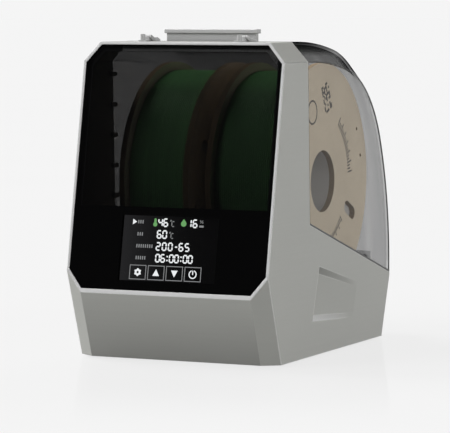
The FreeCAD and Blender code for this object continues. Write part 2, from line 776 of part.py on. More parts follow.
def base_plate():
    """The bottom cover with feet places, air inlet, screw holes and posts."""
    plate = hull(WALL + FIT, 0, 0).common(box((-REACH, REACH), (-REACH, REACH), (BASE_Z, BASE_TOP_Z)))
    for row in (-1, 1):
        for side in (-1, 1):
            post_x = side * FAN_HOLE_PITCH / 2
            post_y = SPOOL_Y + row * FAN_HOLE_PITCH / 2
            plate = plate.fuse(rod_z(FAN_POST_RADIUS, post_x, post_y, (BASE_Z, FAN_Z)))
    for post_x, post_y in power_post_places():
        plate = plate.fuse(rod_z(POWER_POST_RADIUS, post_x, post_y, (BASE_Z, POWER_BOARD_Z)))
    plate = plate.removeSplitter()
    for slot in air_slots((0, FAN_Z)):
        plate = plate.cut(slot)
    for x, y in LEG_PLACES:
        plate = plate.cut(rod_z(SCREW_RADIUS + SCREW_FIT, x, y, (0, FAN_Z)))
        plate = plate.cut(rod_z(SCREW_HEAD_RADIUS + FIT, x, y, (0, BASE_Z + SCREW_HEAD_HEIGHT)))
    return plate


def air_slots(z):
    """The row of air slots above and below the fan."""
    middle = (SLOT_COUNT - 1) / 2
    rows = [SPOOL_Y + (index - middle) * SLOT_PITCH for index in range(SLOT_COUNT)]
    return [box(around(0, SLOT_LENGTH), around(y, SLOT_WIDTH), z) for y in rows]


def feet():
    shapes = []
    for x, y in FOOT_PLACES:
        cone = Part.makeCone(FOOT_RADIUS - FOOT_BEVEL, FOOT_RADIUS, FOOT_BEVEL, vec(x, y, 0), Z_AXIS)
        shapes.append(merged([cone, rod_z(FOOT_RADIUS, x, y, (FOOT_BEVEL, FOOT_HEIGHT))]))
    return Part.Compound(shapes)


def base_screws():
    shapes = []
    for x, y in LEG_PLACES:
        head = rod_z(SCREW_HEAD_RADIUS, x, y, (BASE_Z, BASE_Z + SCREW_HEAD_HEIGHT))
        shapes.append(merged([head, rod_z(SCREW_RADIUS, x, y, (BASE_Z, BASE_Z + SCREW_LENGTH))]))
    return Part.Compound(shapes)


# Chamber

def chamber_floor():
    """The floor under the spools, with air slots and legs that the base screws hold."""
    level = (FLOOR_Z, FLOOR_TOP_Z)
    floor = hull(WALL + FIT, 0, 0).common(box((-REACH, REACH), (-REACH, REACH), level))
    floor = floor.cut(grip_pocket(FIT)).cut(mirrored(grip_pocket(FIT)))
    floor = floor.multiFuse([rod_z(LEG_RADIUS, x, y, (BASE_TOP_Z, FLOOR_Z)) for x, y in LEG_PLACES])
    for slot in air_slots(level):
        floor = floor.cut(slot)
    for x, y in LEG_PLACES:
        floor = floor.cut(rod_z(SCREW_RADIUS + SCREW_FIT, x, y, (BASE_Z, BASE_Z + SCREW_LENGTH + FIT)))
    return floor.removeSplitter()


def placed(shape, side):
    """A piece drawn for the right spool, on its own side of the shifted spool pair."""
    chosen = shape if side > 0 else mirrored(shape)
    return chosen.translated(vec(SPOOL_SHIFT, 0, 0))


def axle_place(row):
    return (SPOOL_Y + row * AXLE_SPREAD, AXLE_Z)


def saddle_spans():
    outer = ROLLER_OUTER_X + ROLLER_END_GAP
    inner = ROLLER_INNER_X - ROLLER_END_GAP
    spans = [(-outer - SADDLE_WIDTH, -outer), (-inner, inner), (outer, outer + SADDLE_WIDTH)]
    return [(low + SPOOL_SHIFT, high + SPOOL_SHIFT) for low, high in spans]


def axle_saddles():
    """Blocks on the floor, each with an open-topped notch that an axle drops into."""
    shapes = []
    for row in (-1, 1):
        y, z = axle_place(row)
        for span in saddle_spans():
            block = box(span, around(y, SADDLE_DEPTH), (FLOOR_TOP_Z, z + SADDLE_CAP))
            notch = AXLE_RADIUS + PIN_CLEARANCE
            block = block.cut(rod_x(notch, span, y, z))
            shapes.append(block.cut(box(span, (y - notch, y + notch), (z, z + SADDLE_DEPTH))))
    return Part.Compound(shapes)


def axle(row):
    y, z = axle_place(row)
    spans = saddle_spans()
    return rod_x(AXLE_RADIUS, (spans[0][0], spans[-1][1]), y, z)


def roller(side, row):
    """One grooved roller that carries both flanges of a spool."""
    y, z = axle_place(row)
    groove = FLANGE_THICKNESS + 2 * ROLLER_GROOVE_PLAY
    lip = (ROLLER_LIP_RADIUS, ROLLER_LIP_WIDTH)
    steps = [lip, (ROLLER_RADIUS, groove), lip]
    used = sum(width for _, width in steps)
    waist = ROLLER_OUTER_X - ROLLER_INNER_X - 2 * used
    steps = steps + [(ROLLER_WAIST_RADIUS, waist)] + steps
    start = ROLLER_INNER_X
    shapes = []
    for radius, width in steps:
        shapes.append(rod_x(radius, (start, start + width), y, z))
        start += width
    bore = rod_x(AXLE_RADIUS + PIN_CLEARANCE, (ROLLER_INNER_X, ROLLER_OUTER_X), y, z)
    return placed(merged(shapes).cut(bore), side)


def flange_cuts(x):
    """The radial windows and strand holes through one flange, in two opposite sets."""
    middle_y = SPOOL_Y + FLANGE_WINDOW_REACH
    half = (FLANGE_WINDOW_LENGTH - FLANGE_WINDOW_WIDTH) / 2
    ends = [rod_x(FLANGE_WINDOW_WIDTH / 2, x, middle_y + end * half, SPOOL_Z) for end in (-1, 1)]
    slot = box(x, around(middle_y, 2 * half), around(SPOOL_Z, FLANGE_WINDOW_WIDTH))
    window = merged(ends + [slot])
    eye = rod_x(FLANGE_EYE_RADIUS, x, SPOOL_Y + FLANGE_EYE_REACH, SPOOL_Z)
    angles = [(window, FLANGE_WINDOW_ANGLE)] + [(eye, angle) for angle in FLANGE_EYE_ANGLES]
    cuts = []
    for half_turn in (0, 180):
        for shape, angle in angles:
            cut = shape.copy()
            cut.rotate(vec(0, SPOOL_Y, SPOOL_Z), X_AXIS, angle + half_turn)
            cuts.append(cut)
    return cuts


def spool_flanges(side):
    inner = (SPOOL_INNER_X, SPOOL_INNER_X + FLANGE_THICKNESS)
    outer = (SPOOL_OUTER_X - FLANGE_THICKNESS, SPOOL_OUTER_X)
    shapes = []
    for span in (inner, outer):
        disc = ring_x(SPOOL_RADIUS, SPOOL_BORE_RADIUS, span, SPOOL_Y, SPOOL_Z)
        for cut in flange_cuts(span):
            disc = disc.cut(cut)
        shapes.append(disc)
    return placed(Part.Compound(shapes), side)


def spool_core(side):
    span = (SPOOL_INNER_X + FLANGE_THICKNESS, SPOOL_OUTER_X - FLANGE_THICKNESS)
    return placed(ring_x(CORE_RADIUS, SPOOL_BORE_RADIUS, span, SPOOL_Y, SPOOL_Z), side)


def winding_groove(x):
    """A shallow V all round the winding, where two neighbouring turns of strand meet."""
    middle = vec(x, SPOOL_Y, SPOOL_Z + WINDING_RADIUS)
    out = vec(0, 0, WINDING_GROOVE_DEPTH)
    across = vec(WINDING_GROOVE_WIDTH, 0, 0)
    corners = [middle - out, middle + out + across, middle + out - across]
    return flat_face(corners).revolve(vec(0, SPOOL_Y, SPOOL_Z), X_AXIS, 360)


def filament(side):
    """The wound strand as one ring between the flanges, with grooves between its bands of turns."""
    low = SPOOL_INNER_X + FLANGE_THICKNESS + WINDING_GAP
    high = SPOOL_OUTER_X - FLANGE_THICKNESS - WINDING_GAP
    band = (high - low) / WINDING_BANDS
    winding = ring_x(WINDING_RADIUS, CORE_RADIUS + WINDING_GAP, (low, high), SPOOL_Y, SPOOL_Z)
    for index in range(1, WINDING_BANDS):
        winding = winding.cut(winding_groove(low + index * band))
    return placed(winding, side)


# Air heater

def fan_frame():
    """Square fan frame with a round duct, corner holes and struts to its stator."""
    level = (FAN_Z, FAN_TOP_Z)
    low = (FAN_Z, FAN_Z + FAN_STATOR_HEIGHT)
    frame = box(around(0, FAN_SIZE), around(SPOOL_Y, FAN_SIZE), level)
    frame = frame.cut(rod_z(FAN_DUCT_RADIUS, 0, SPOOL_Y, level))
    pieces = [frame, rod_z(FAN_STATOR_RADIUS, 0, SPOOL_Y, low)]
    for index in range(FAN_STRUT_COUNT):
        strut = box((0, FAN_SIZE / 2), around(SPOOL_Y, FAN_STRUT_WIDTH), low)
        strut.rotate(vec(0, SPOOL_Y, 0), Z_AXIS, index * 360 / FAN_STRUT_COUNT)
        pieces.append(strut)
    frame = merged(pieces)
    for row in (-1, 1):
        for side in (-1, 1):
            x = side * FAN_HOLE_PITCH / 2
            y = SPOOL_Y + row * FAN_HOLE_PITCH / 2
            frame = frame.cut(rod_z(FAN_HOLE_RADIUS, x, y, level))
    return frame.cut(rod_z(FAN_SHAFT_RADIUS + PIN_CLEARANCE, 0, SPOOL_Y, level))


def fan_rotor():
    """Hub, shaft and tilted blades."""
    low = FAN_Z + FAN_STATOR_HEIGHT + FAN_AIR_GAP
    high = FAN_TOP_Z - FAN_AIR_GAP
    pieces = [rod_z(FAN_HUB_RADIUS, 0, SPOOL_Y, (low, high))]
    pieces.append(rod_z(FAN_SHAFT_RADIUS, 0, SPOOL_Y, (FAN_Z + FAN_AIR_GAP, high)))
    middle = (low + high) / 2
    tip = FAN_DUCT_RADIUS - BLADE_TIP_GAP
    for index in range(BLADE_COUNT):
        blade = box((FAN_HUB_RADIUS / 2, tip), around(SPOOL_Y, BLADE_THICKNESS), around(middle, BLADE_HEIGHT))
        blade.rotate(vec(0, SPOOL_Y, middle), X_AXIS, BLADE_PITCH)
        blade.rotate(vec(0, SPOOL_Y, middle), Z_AXIS, index * 360 / BLADE_COUNT)
        pieces.append(blade)
    return merged(pieces)


def heater_core():
    """Aluminium fins between two rails, on three heating bars, between the fan and the floor."""
    level = (FAN_TOP_Z, FLOOR_Z)
    width = around(0, FAN_SIZE)
    pieces = []
    for side in (-1, 1):
        rail_x = around(side * (FAN_SIZE - HEATER_RAIL) / 2, HEATER_RAIL)
        pieces.append(box(rail_x, around(SPOOL_Y, FAN_SIZE), level))
    pitch = (FAN_SIZE - FIN_THICKNESS) / (FIN_COUNT - 1)
    for index in range(FIN_COUNT):
        fin_y = SPOOL_Y + (index - (FIN_COUNT - 1) / 2) * pitch
        pieces.append(box(width, around(fin_y, FIN_THICKNESS), level))
    bar_z = around((level[0] + level[1]) / 2, HEATER_BAR)
    for index in range(HEATER_BAR_COUNT):
        bar_x = (index - (HEATER_BAR_COUNT - 1) / 2) * FAN_SIZE / (HEATER_BAR_COUNT + 1)
        pieces.append(box(around(bar_x, HEATER_BAR), around(SPOOL_Y, FAN_SIZE), bar_z))
    return merged(pieces)


# Power

def power_post_places():
    places = []
    for row in (-1, 1):
        for side in (-1, 1):
            x = POWER_BOARD_OFFSET_X + side * (POWER_BOARD_WIDTH / 2 - POWER_POST_INSET)
            places.append((x, POWER_BOARD_Y + row * (POWER_BOARD_DEPTH / 2 - POWER_POST_INSET)))
    return places


def power_board():
    """Circuit board with its transformer and capacitors."""
    top = POWER_BOARD_Z + BOARD_THICKNESS
    pieces = [box(around(POWER_BOARD_OFFSET_X, POWER_BOARD_WIDTH), around(POWER_BOARD_Y, POWER_BOARD_DEPTH),
                  (POWER_BOARD_Z, top))]
    pieces.append(box(around(POWER_BOARD_OFFSET_X, TRANSFORMER_SIZE), around(POWER_BOARD_Y, TRANSFORMER_SIZE),
                      (POWER_BOARD_Z, top + TRANSFORMER_HEIGHT)))
    for side in (-1, 1):
        can_x = POWER_BOARD_OFFSET_X + side * (TRANSFORMER_SIZE / 2 + CAPACITOR_PITCH / 2)
        pieces.append(rod_z(CAPACITOR_RADIUS, can_x, POWER_BOARD_Y, (POWER_BOARD_Z, top + CAPACITOR_HEIGHT)))
    return merged(pieces)


def power_inlet():
    """Panel inlet: flange on the bay's floor, body behind it and an open socket."""
    face_y = INLET_Y + INLET_FLANGE_THICKNESS
    flange = box(around(INLET_OFFSET, INLET_FLANGE_WIDTH), (INLET_Y, face_y),
                 around(INLET_Z, INLET_FLANGE_HEIGHT))
    body = box(around(INLET_OFFSET, INLET_BODY_WIDTH), (INLET_Y - INLET_BODY_DEPTH, face_y),
               around(INLET_Z, INLET_BODY_HEIGHT))
    shape = merged([flange, body]).cut(inlet_socket())
    for cut in inlet_screw_holes() + inlet_blades():
        shape = shape.cut(cut)
    return shape


def inlet_socket():
    """The hollow that takes a plug, with its two upper corners cut off."""
    half_width = INLET_BODY_WIDTH / 2 - INLET_WALL
    half_height = INLET_BODY_HEIGHT / 2 - INLET_WALL
    start = INLET_Y - INLET_BODY_DEPTH + INLET_FLOOR
    points = [(-half_width, -half_height), (half_width, -half_height),
              (half_width, half_height - INLET_CORNER), (half_width - INLET_CORNER, half_height),
              (INLET_CORNER - half_width, half_height), (-half_width, half_height - INLET_CORNER)]
    corners = [vec(INLET_OFFSET + x, start, INLET_Z + z) for x, z in points]
    return flat_face(corners).extrude(vec(0, REACH, 0))


def inlet_blades():
    """Three contact blades that stand in the socket and pass through its floor."""
    floor_y = INLET_Y - INLET_BODY_DEPTH
    span = (floor_y - PIN_TAIL, floor_y + INLET_FLOOR + PIN_BLADE_LENGTH)
    places = [(-PIN_BLADE_PITCH / 2, 0), (0, PIN_EARTH_DROP), (PIN_BLADE_PITCH / 2, 0)]
    return [box(around(INLET_OFFSET + x, PIN_BLADE_WIDTH), span, around(INLET_Z + z, PIN_BLADE_HEIGHT))
            for x, z in places]


def inlet_pins():
    return Part.Compound(inlet_blades())


def inlet_screws():
    face_y = INLET_Y + INLET_FLANGE_THICKNESS
    shapes = []
    for side in (-1, 1):
        x = INLET_OFFSET + side * INLET_SCREW_PITCH / 2
        head = Part.makeCylinder(SCREW_HEAD_RADIUS, SCREW_HEAD_HEIGHT, vec(x, face_y, INLET_Z), Y_AXIS)
        shank_y = face_y - INLET_FLANGE_THICKNESS - 2 * WALL
        shank = Part.makeCylinder(SCREW_RADIUS, face_y - shank_y, vec(x, shank_y, INLET_Z), Y_AXIS)
        shapes.append(merged([head, shank]))
    return Part.Compound(shapes)


# Display

LCD_LOW = LCD_RISE - LCD_BORDER
LCD_TOP = LCD_RISE + LCD_HEIGHT + LCD_BORDER
LCD_HALF = LCD_WIDTH / 2 + LCD_BORDER
LCD_BACK = GLASS_BACK + LCD_THICKNESS
BOARD_FRONT = LCD_BACK + BOARD_STANDOFF


def lcd_module():
    """Display panel on the glass's back, with standoffs for the control board."""
    pieces = [pane_box((-LCD_HALF, LCD_HALF), (LCD_LOW, LCD_TOP), (GLASS_BACK, LCD_BACK))]
    for across in (-LCD_HALF + BOARD_INSET, LCD_HALF - BOARD_INSET):
        for up in (LCD_LOW + BOARD_INSET, LCD_TOP - BOARD_INSET):
            pieces.append(pane_rod(BOARD_STANDOFF_RADIUS, across, up, (GLASS_BACK, BOARD_FRONT)))
    return merged(pieces)


def control_board():
    """Circuit board behind the display, with its processor and a row of plugs."""
    back = BOARD_FRONT + BOARD_THICKNESS
    margin = BOARD_INSET - BOARD_STANDOFF_RADIUS
    across = (-LCD_HALF + margin, LCD_HALF - margin)
    up = (LCD_LOW + margin, LCD_TOP - margin)
    middle = (up[0] + up[1]) / 2
    pieces = [pane_box(across, up, (BOARD_FRONT, back))]
    chip = around(0, CHIP_SIZE)
    pieces.append(pane_box(chip, around(middle, CHIP_SIZE), (BOARD_FRONT, back + CHIP_HEIGHT)))
    for side in (-1, 1):
        plug = around(side * (across[1] - CHIP_SIZE), CHIP_SIZE)
        pieces.append(pane_box(plug, around(middle, PLUG_BLOCK), (BOARD_FRONT, back + PLUG_BLOCK)))
    return merged(pieces)


SHROUD_TOP = LCD_TOP + SHROUD_MARGIN


def display_shroud(ledge):
    """The inner wall that closes the display's space off from the chamber."""
    back = pane_box((-HALF_WIDTH, HALF_WIDTH), (-LIP_HEIGHT, SHROUD_TOP),
                    (SHROUD_DEPTH - SHROUD_THICKNESS, SHROUD_DEPTH))
    roof = pane_box((-HALF_WIDTH, HALF_WIDTH), (SHROUD_TOP - SHROUD_THICKNESS, SHROUD_TOP),
                    (GLASS_BACK, SHROUD_DEPTH))
    room = hull(WALL + FIT, 0, 0).common(box((-REACH, REACH), (-REACH, REACH), (FLOOR_TOP_Z, REACH)))
    return merged([back, roof]).common(room).cut(ledge)


def humidity_sensor():
    """A slotted sensor case on the chamber side of the shroud."""
    middle = SHROUD_TOP - SENSOR_DROP - SENSOR_HEIGHT / 2
    case = pane_box(around(0, SENSOR_WIDTH), around(middle, SENSOR_HEIGHT),
                    (SHROUD_DEPTH, SHROUD_DEPTH + SENSOR_THICKNESS))
    slot_depth = (SHROUD_DEPTH + SENSOR_THICKNESS / 2, SHROUD_DEPTH + 2 * SENSOR_THICKNESS)
    for row in (-1, 0, 1):
        slot_up = around(middle + row * 2 * SENSOR_SLOT, SENSOR_SLOT)
        case = case.cut(pane_box(around(0, SENSOR_WIDTH / 2), slot_up, slot_depth))
    return case


# Filament outlets

def outlet_tube(side):
    return ring_z(TUBE_RADIUS, TUBE_BORE_RADIUS, side * OUTLET_OFFSET, OUTLET_Y,
                  (TOP_Z - WALL - TUBE_TAIL, TUBE_TOP_Z))


def outlet_collar(side):
    """Ring round the tube with a strap to the cap's hinge knuckle."""
    x = side * OUTLET_OFFSET
    knuckle_x = around(x, CAP_KNUCKLE_WIDTH)
    level = (TOP_Z, TOP_Z + COLLAR_HEIGHT)
    pieces = [rod_z(COLLAR_RADIUS, x, OUTLET_Y, level)]
    pieces.append(box(knuckle_x, (OUTLET_Y, CAP_HINGE_Y), level))
    pieces.append(box(knuckle_x, around(CAP_HINGE_Y, 2 * CAP_EYE_RADIUS), (TOP_Z, CAP_HINGE_Z)))
    pieces.append(rod_x(CAP_EYE_RADIUS, knuckle_x, CAP_HINGE_Y, CAP_HINGE_Z))
    collar = merged(pieces).cut(rod_z(TUBE_RADIUS + TUBE_FIT, x, OUTLET_Y, level))
    return collar.cut(rod_x(CAP_PIN_RADIUS + PIN_CLEARANCE, knuckle_x, CAP_HINGE_Y, CAP_HINGE_Z))


def cap_eye_spans(x):
    near = CAP_KNUCKLE_WIDTH / 2 + CAP_EYE_GAP
    return [(x - near - CAP_EYE_WIDTH, x - near), (x + near, x + near + CAP_EYE_WIDTH)]


def cap_pin(side):
    spans = cap_eye_spans(side * OUTLET_OFFSET)
    return rod_x(CAP_PIN_RADIUS, (spans[0][0], spans[1][1]), CAP_HINGE_Y, CAP_HINGE_Z)


def outlet_cap(side):
    """Flip cap, parked behind its tube with the socket upward."""
    x = side * OUTLET_OFFSET
    top = CAP_LOW_Z + CAP_HEIGHT
    boss = (CAP_RADIUS + TUBE_RADIUS) / 2
    plate_z = CAP_LOW_Z + CAP_PLATE
    spans = cap_eye_spans(x)
    pieces = [rod_z(CAP_RADIUS, x, CAP_Y, (CAP_LOW_Z, plate_z))]
    pieces.append(Part.makeCone(CAP_RADIUS, boss, top - plate_z, vec(x, CAP_Y, plate_z), Z_AXIS))
    for span in spans:
        pieces.append(rod_x(CAP_EYE_RADIUS, span, CAP_HINGE_Y, CAP_HINGE_Z))
        arm = [(CAP_HINGE_Y, CAP_HINGE_Z + CAP_EYE_RADIUS), (CAP_HINGE_Y, CAP_HINGE_Z - CAP_EYE_RADIUS),
               (CAP_Y - CAP_RADIUS, CAP_LOW_Z), (CAP_Y - boss, CAP_LOW_Z), (CAP_Y - boss, top)]
        pieces.append(prism(arm, span))
    cap = merged(pieces).cut(rod_z(TUBE_RADIUS + CAP_SOCKET_GAP, x, CAP_Y, (top - CAP_SOCKET_DEPTH, REACH)))
    pin_span = (spans[0][0], spans[1][1])
    return cap.cut(rod_x(CAP_PIN_RADIUS + PIN_CLEARANCE, pin_span, CAP_HINGE_Y, CAP_HINGE_Z))


# Lid

def lid_arch(hoop):
    """The smoked crown of the lid: top, corner facets and curved rear wall in one moulding."""
    arch = hoop.common(lid_zone(LID_GAP, SEAL_HEIGHT))
    for screw in lid_leaf_screws(SCREW_FIT) + handle_screw_list(SCREW_FIT):
        arch = arch.cut(screw)
    return arch


def lid_window(blank):
    return blank.common(lid_zone(LID_GAP, SEAL_HEIGHT))


def lid_seal(hoop, blanks):
    """The soft strip along the lid's lower edge."""
    strip = lid_zone(LID_GAP, SEAL_REST_GAP).cut(lid_zone(LID_GAP, SEAL_HEIGHT))
    return merged([shape.common(strip) for shape in [hoop] + blanks])


def lid_handle():
    """Low bar with a lip to pull the lid up by."""
    front = LID_Y + HANDLE_SETBACK
    depth = (front, front + HANDLE_NECK_DEPTH)
    top = TOP_Z + HANDLE_HEIGHT
    lip_z = (top - HANDLE_LIP, top)
    neck = box(around(0, HANDLE_NECK_WIDTH), depth, (TOP_Z - WALL, top))
    lip = box(around(0, HANDLE_NECK_WIDTH + 2 * HANDLE_OVERHANG),
              (depth[0] - HANDLE_OVERHANG, depth[1] + HANDLE_OVERHANG), lip_z)
    lip = lip.makeFillet(HANDLE_ROUND, lip.Edges)
    shape = merged([neck, lip]).cut(hull(0, 0, 0))
    for screw in handle_screw_list(SCREW_FIT):
        shape = shape.cut(screw)
    return shape


def handle_screw_list(fit):
    """Screws from inside the lid up into the handle."""
    y = LID_Y + HANDLE_SETBACK + HANDLE_NECK_DEPTH / 2
    seat = TOP_Z - 2 * WALL
    tip = TOP_Z + (HANDLE_HEIGHT - HANDLE_LIP)
    shapes = []
    for side in (-1, 1):
        x = side * HANDLE_SCREW_PITCH / 2
        shapes.append(rod_z(SCREW_RADIUS + fit, x, y, (seat, tip + fit)))
    return shapes


def handle_screws():
    y = LID_Y + HANDLE_SETBACK + HANDLE_NECK_DEPTH / 2
    inner = hull(WALL, 0, 0)
    shapes = []
    for side, shank in zip((-1, 1), handle_screw_list(0)):
        x = side * HANDLE_SCREW_PITCH / 2
        head = rod_z(SCREW_HEAD_RADIUS, x, y, (TOP_Z - WALL - 2 * SCREW_HEAD_HEIGHT, TOP_Z)).common(inner)
        shapes.append(merged([head, shank]))
    return Part.Compound(shapes)


# Hinges

def hinge_centres():
    return (-HINGE_OFFSET, HINGE_OFFSET)


def leaf_span(centre):
    return around(centre, HINGE_WIDTH)


def lid_knuckle_span(centre):
    return around(centre, LID_KNUCKLE_WIDTH)


def body_knuckle_spans(centre):
    low, high = leaf_span(centre)
    inner_low, inner_high = lid_knuckle_span(centre)
    return [(low, inner_low - KNUCKLE_GAP), (inner_high + KNUCKLE_GAP, high)]


def hinge_bore(x):
    return rod_x(HINGE_PIN_RADIUS + PIN_CLEARANCE, x, HINGE_Y, HINGE_Z)


def lid_leaves():
    """Leaves on the lid's rear wall, each with one middle knuckle."""
    shapes = []
    for centre in hinge_centres():
        knuckle = lid_knuckle_span(centre)
        leaf_y = (REAR_Y - WALL, REAR_Y + LEAF_THICKNESS)
        plate = box(leaf_span(centre), leaf_y, (HINGE_Z + LEAF_CLEAR, HINGE_Z + LEAF_LENGTH))
        web = box(knuckle, (REAR_Y + KNUCKLE_GAP, HINGE_Y), (HINGE_Z, HINGE_Z + LEAF_CLEAR + LEAF_THICKNESS))
        web = web.common(box(knuckle, (REAR_Y, REAR_Y + LEAF_THICKNESS), (0, REACH)))
        barrel = rod_x(KNUCKLE_RADIUS, knuckle, HINGE_Y, HINGE_Z)
        leaf = merged([plate, web, barrel]).cut(hull(0, 0, 0)).cut(hinge_bore(knuckle))
        for screw in lid_leaf_screws(SCREW_FIT):
            leaf = leaf.cut(screw)
        shapes.append(leaf)
    return Part.Compound(shapes)


def undercut_point(along, out):
    """A point down the rear undercut from the nose, and out from its face."""
    y = REAR_Y - along * sin(REAR_UNDERCUT) + out * cos(REAR_UNDERCUT)
    z = NOSE_Z - along * cos(REAR_UNDERCUT) - out * sin(REAR_UNDERCUT)
    return (y, z)


def body_leaves():
    """Leaves on the rear undercut, each with two outer knuckles."""
    shapes = []
    for centre in hinge_centres():
        corners = [undercut_point(0, 0), undercut_point(LEAF_LENGTH, 0),
                   undercut_point(LEAF_LENGTH, LEAF_THICKNESS), undercut_point(0, LEAF_THICKNESS)]
        pieces = [prism(corners, leaf_span(centre))]
        neck = [undercut_point(0, KNUCKLE_GAP), undercut_point(LEAF_THICKNESS, KNUCKLE_GAP),
                undercut_point(LEAF_THICKNESS, LEAF_THICKNESS), (HINGE_Y + KNUCKLE_RADIUS / 2, HINGE_Z),
                (HINGE_Y - KNUCKLE_RADIUS / 2, HINGE_Z)]
        for span in body_knuckle_spans(centre):
            pieces.append(prism(neck, span))
            pieces.append(rod_x(KNUCKLE_RADIUS, span, HINGE_Y, HINGE_Z))
        leaf = merged(pieces).cut(hinge_bore(leaf_span(centre)))
        for screw in body_leaf_screws(SCREW_FIT):
            leaf = leaf.cut(screw)
        shapes.append(leaf)
    return Part.Compound(shapes)


def hinge_pins():
    return Part.Compound([rod_x(HINGE_PIN_RADIUS, leaf_span(x), HINGE_Y, HINGE_Z) for x in hinge_centres()])


def screw_columns():
    return [centre + side * LEAF_SCREW_PITCH / 2 for centre in hinge_centres() for side in (-1, 1)]


def lid_leaf_screws(fit):
    """Shanks through the lid leaves and the lid's rear wall."""
    z = HINGE_Z + (LEAF_CLEAR + LEAF_LENGTH) / 2
    start = REAR_Y - 2 * WALL
    length = REAR_Y + LEAF_THICKNESS - start
    return [Part.makeCylinder(SCREW_RADIUS + fit, length, vec(x, start, z), Y_AXIS) for x in screw_columns()]


def hinge_lid_screws():
    z = HINGE_Z + (LEAF_CLEAR + LEAF_LENGTH) / 2
    face_y = REAR_Y + LEAF_THICKNESS
    shapes = []
    for x, shank in zip(screw_columns(), lid_leaf_screws(0)):
        head = Part.makeCylinder(SCREW_HEAD_RADIUS, SCREW_HEAD_HEIGHT, vec(x, face_y, z), Y_AXIS)
        shapes.append(merged([head, shank]))
    return Part.Compound(shapes)


def undercut_rod(radius, x, out):
    """A cylinder square to the rear undercut, between two distances out from its face."""
    along = (LEAF_LENGTH + LEAF_THICKNESS) / 2
    start = undercut_point(along, out[0])
    normal = vec(0, cos(REAR_UNDERCUT), -sin(REAR_UNDERCUT))
    return Part.makeCylinder(radius, out[1] - out[0], vec(x, *start), normal)


def body_leaf_screws(fit):
    """Shanks through the body leaves and the rear cover."""
    return [undercut_rod(SCREW_RADIUS + fit, x, (-2 * WALL, LEAF_THICKNESS)) for x in screw_columns()]


def hinge_body_screws():
    span = (LEAF_THICKNESS, LEAF_THICKNESS + SCREW_HEAD_HEIGHT)
    heads = [undercut_rod(SCREW_HEAD_RADIUS, x, span) for x in screw_columns()]
    return Part.Compound([merged([head, shank]) for head, shank in zip(heads, body_leaf_screws(0))])


# Assembly

def main():
    os.makedirs("parts", exist_ok=True)
    blank = side_blank(0)
    blanks = [mirrored(blank), blank]
    hoop = rounded_hull().cut(hull(WALL, -OVERSHOOT, -OVERSHOOT))
    for plate in blanks:
        hoop = hoop.cut(plate)
    ledge = glass_ledge()
    right_panel = side_panel(side_blank(SEAM_BEVEL), ledge)
    right_window = lid_window(side_blank(SEAM_BEVEL))

    save("side_panel_right", right_panel)
    save("side_panel_left", mirrored(right_panel))
    save("top_bridge", top_bridge(hoop, ledge, blanks))
    save("front_lower_cover", front_lower_cover(hoop, ledge, blanks))
    save("rear_cover", rear_cover(hoop))
    save("base_plate", base_plate())
    save("base_screws", base_screws())
    save("feet", feet())

    save("front_glass", front_glass())
    save("lcd_module", lcd_module())
    save("control_board", control_board())
    save("display_shroud", display_shroud(ledge))
    save("humidity_sensor", humidity_sensor())

    save("chamber_floor", chamber_floor())
    save("axle_saddles", axle_saddles())
    for place, row in (("front", -1), ("rear", 1)):
        save("axle_" + place, axle(row))
        for name, side in SIDES:
            save("roller_" + name + "_" + place, roller(side, row))
    for name, side in SIDES:
        save("spool_flanges_" + name, spool_flanges(side))
        save("spool_core_" + name, spool_core(side))
        save("filament_" + name, filament(side))

    save("fan_frame", fan_frame())
    save("fan_rotor", fan_rotor())
    save("heater_core", heater_core())
    save("power_board", power_board())
    save("power_inlet", power_inlet())
    save("inlet_pins", inlet_pins())
    save("inlet_screws", inlet_screws())

    for name, side in SIDES:
        save("outlet_tube_" + name, outlet_tube(side))
        save("outlet_collar_" + name, outlet_collar(side))
        save("cap_pin_" + name, cap_pin(side))
        save("outlet_cap_" + name, outlet_cap(side))

    save("lid_arch", lid_arch(hoop))
    save("lid_window_right", right_window)
    save("lid_window_left", mirrored(right_window))
    save("lid_seal", lid_seal(hoop, blanks))
    save("lid_handle", lid_handle())
    save("handle_screws", handle_screws())
    save("hinge_lid_leaves", lid_leaves())
    save("hinge_lid_screws", hinge_lid_screws())
    save("hinge_body_leaves", body_leaves())
    save("hinge_body_screws", hinge_body_screws())
    save("hinge_pins", hinge_pins())


main()
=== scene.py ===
"""Looks of the filament dryer box: its finishes, wound strands, display, prints and the studio around it."""
import math
import random

import bmesh
import bpy
from bpy.props import FloatProperty, FloatVectorProperty, IntProperty, PointerProperty
from mathutils import Matrix, Vector


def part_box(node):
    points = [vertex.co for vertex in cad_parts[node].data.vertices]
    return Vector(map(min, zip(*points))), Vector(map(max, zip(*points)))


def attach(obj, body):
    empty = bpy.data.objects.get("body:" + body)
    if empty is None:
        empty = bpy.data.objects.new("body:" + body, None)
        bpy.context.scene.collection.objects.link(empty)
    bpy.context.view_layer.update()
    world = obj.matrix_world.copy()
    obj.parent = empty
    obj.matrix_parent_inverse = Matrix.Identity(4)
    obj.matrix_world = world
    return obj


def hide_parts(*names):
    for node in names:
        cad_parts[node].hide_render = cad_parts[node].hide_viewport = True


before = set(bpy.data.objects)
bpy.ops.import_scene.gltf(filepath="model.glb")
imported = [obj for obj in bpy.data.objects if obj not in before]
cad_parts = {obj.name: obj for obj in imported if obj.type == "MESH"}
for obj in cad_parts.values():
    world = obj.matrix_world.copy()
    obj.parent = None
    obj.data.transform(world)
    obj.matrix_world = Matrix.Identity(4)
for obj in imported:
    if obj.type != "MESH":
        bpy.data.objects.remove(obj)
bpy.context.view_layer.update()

bl_info = {
    "name": "Filament dryer box looks",
    "version": (1, 0, 0),
    "blender": (4, 5, 0),
    "location": "3D View > Sidebar > Dryer",
    "description": "Finishes and fine pieces of a two-spool filament dryer box",
    "category": "Object",
}

MM = 0.001
SIDES = ("left", "right")
BLACK = (0.0, 0.0, 0.0)

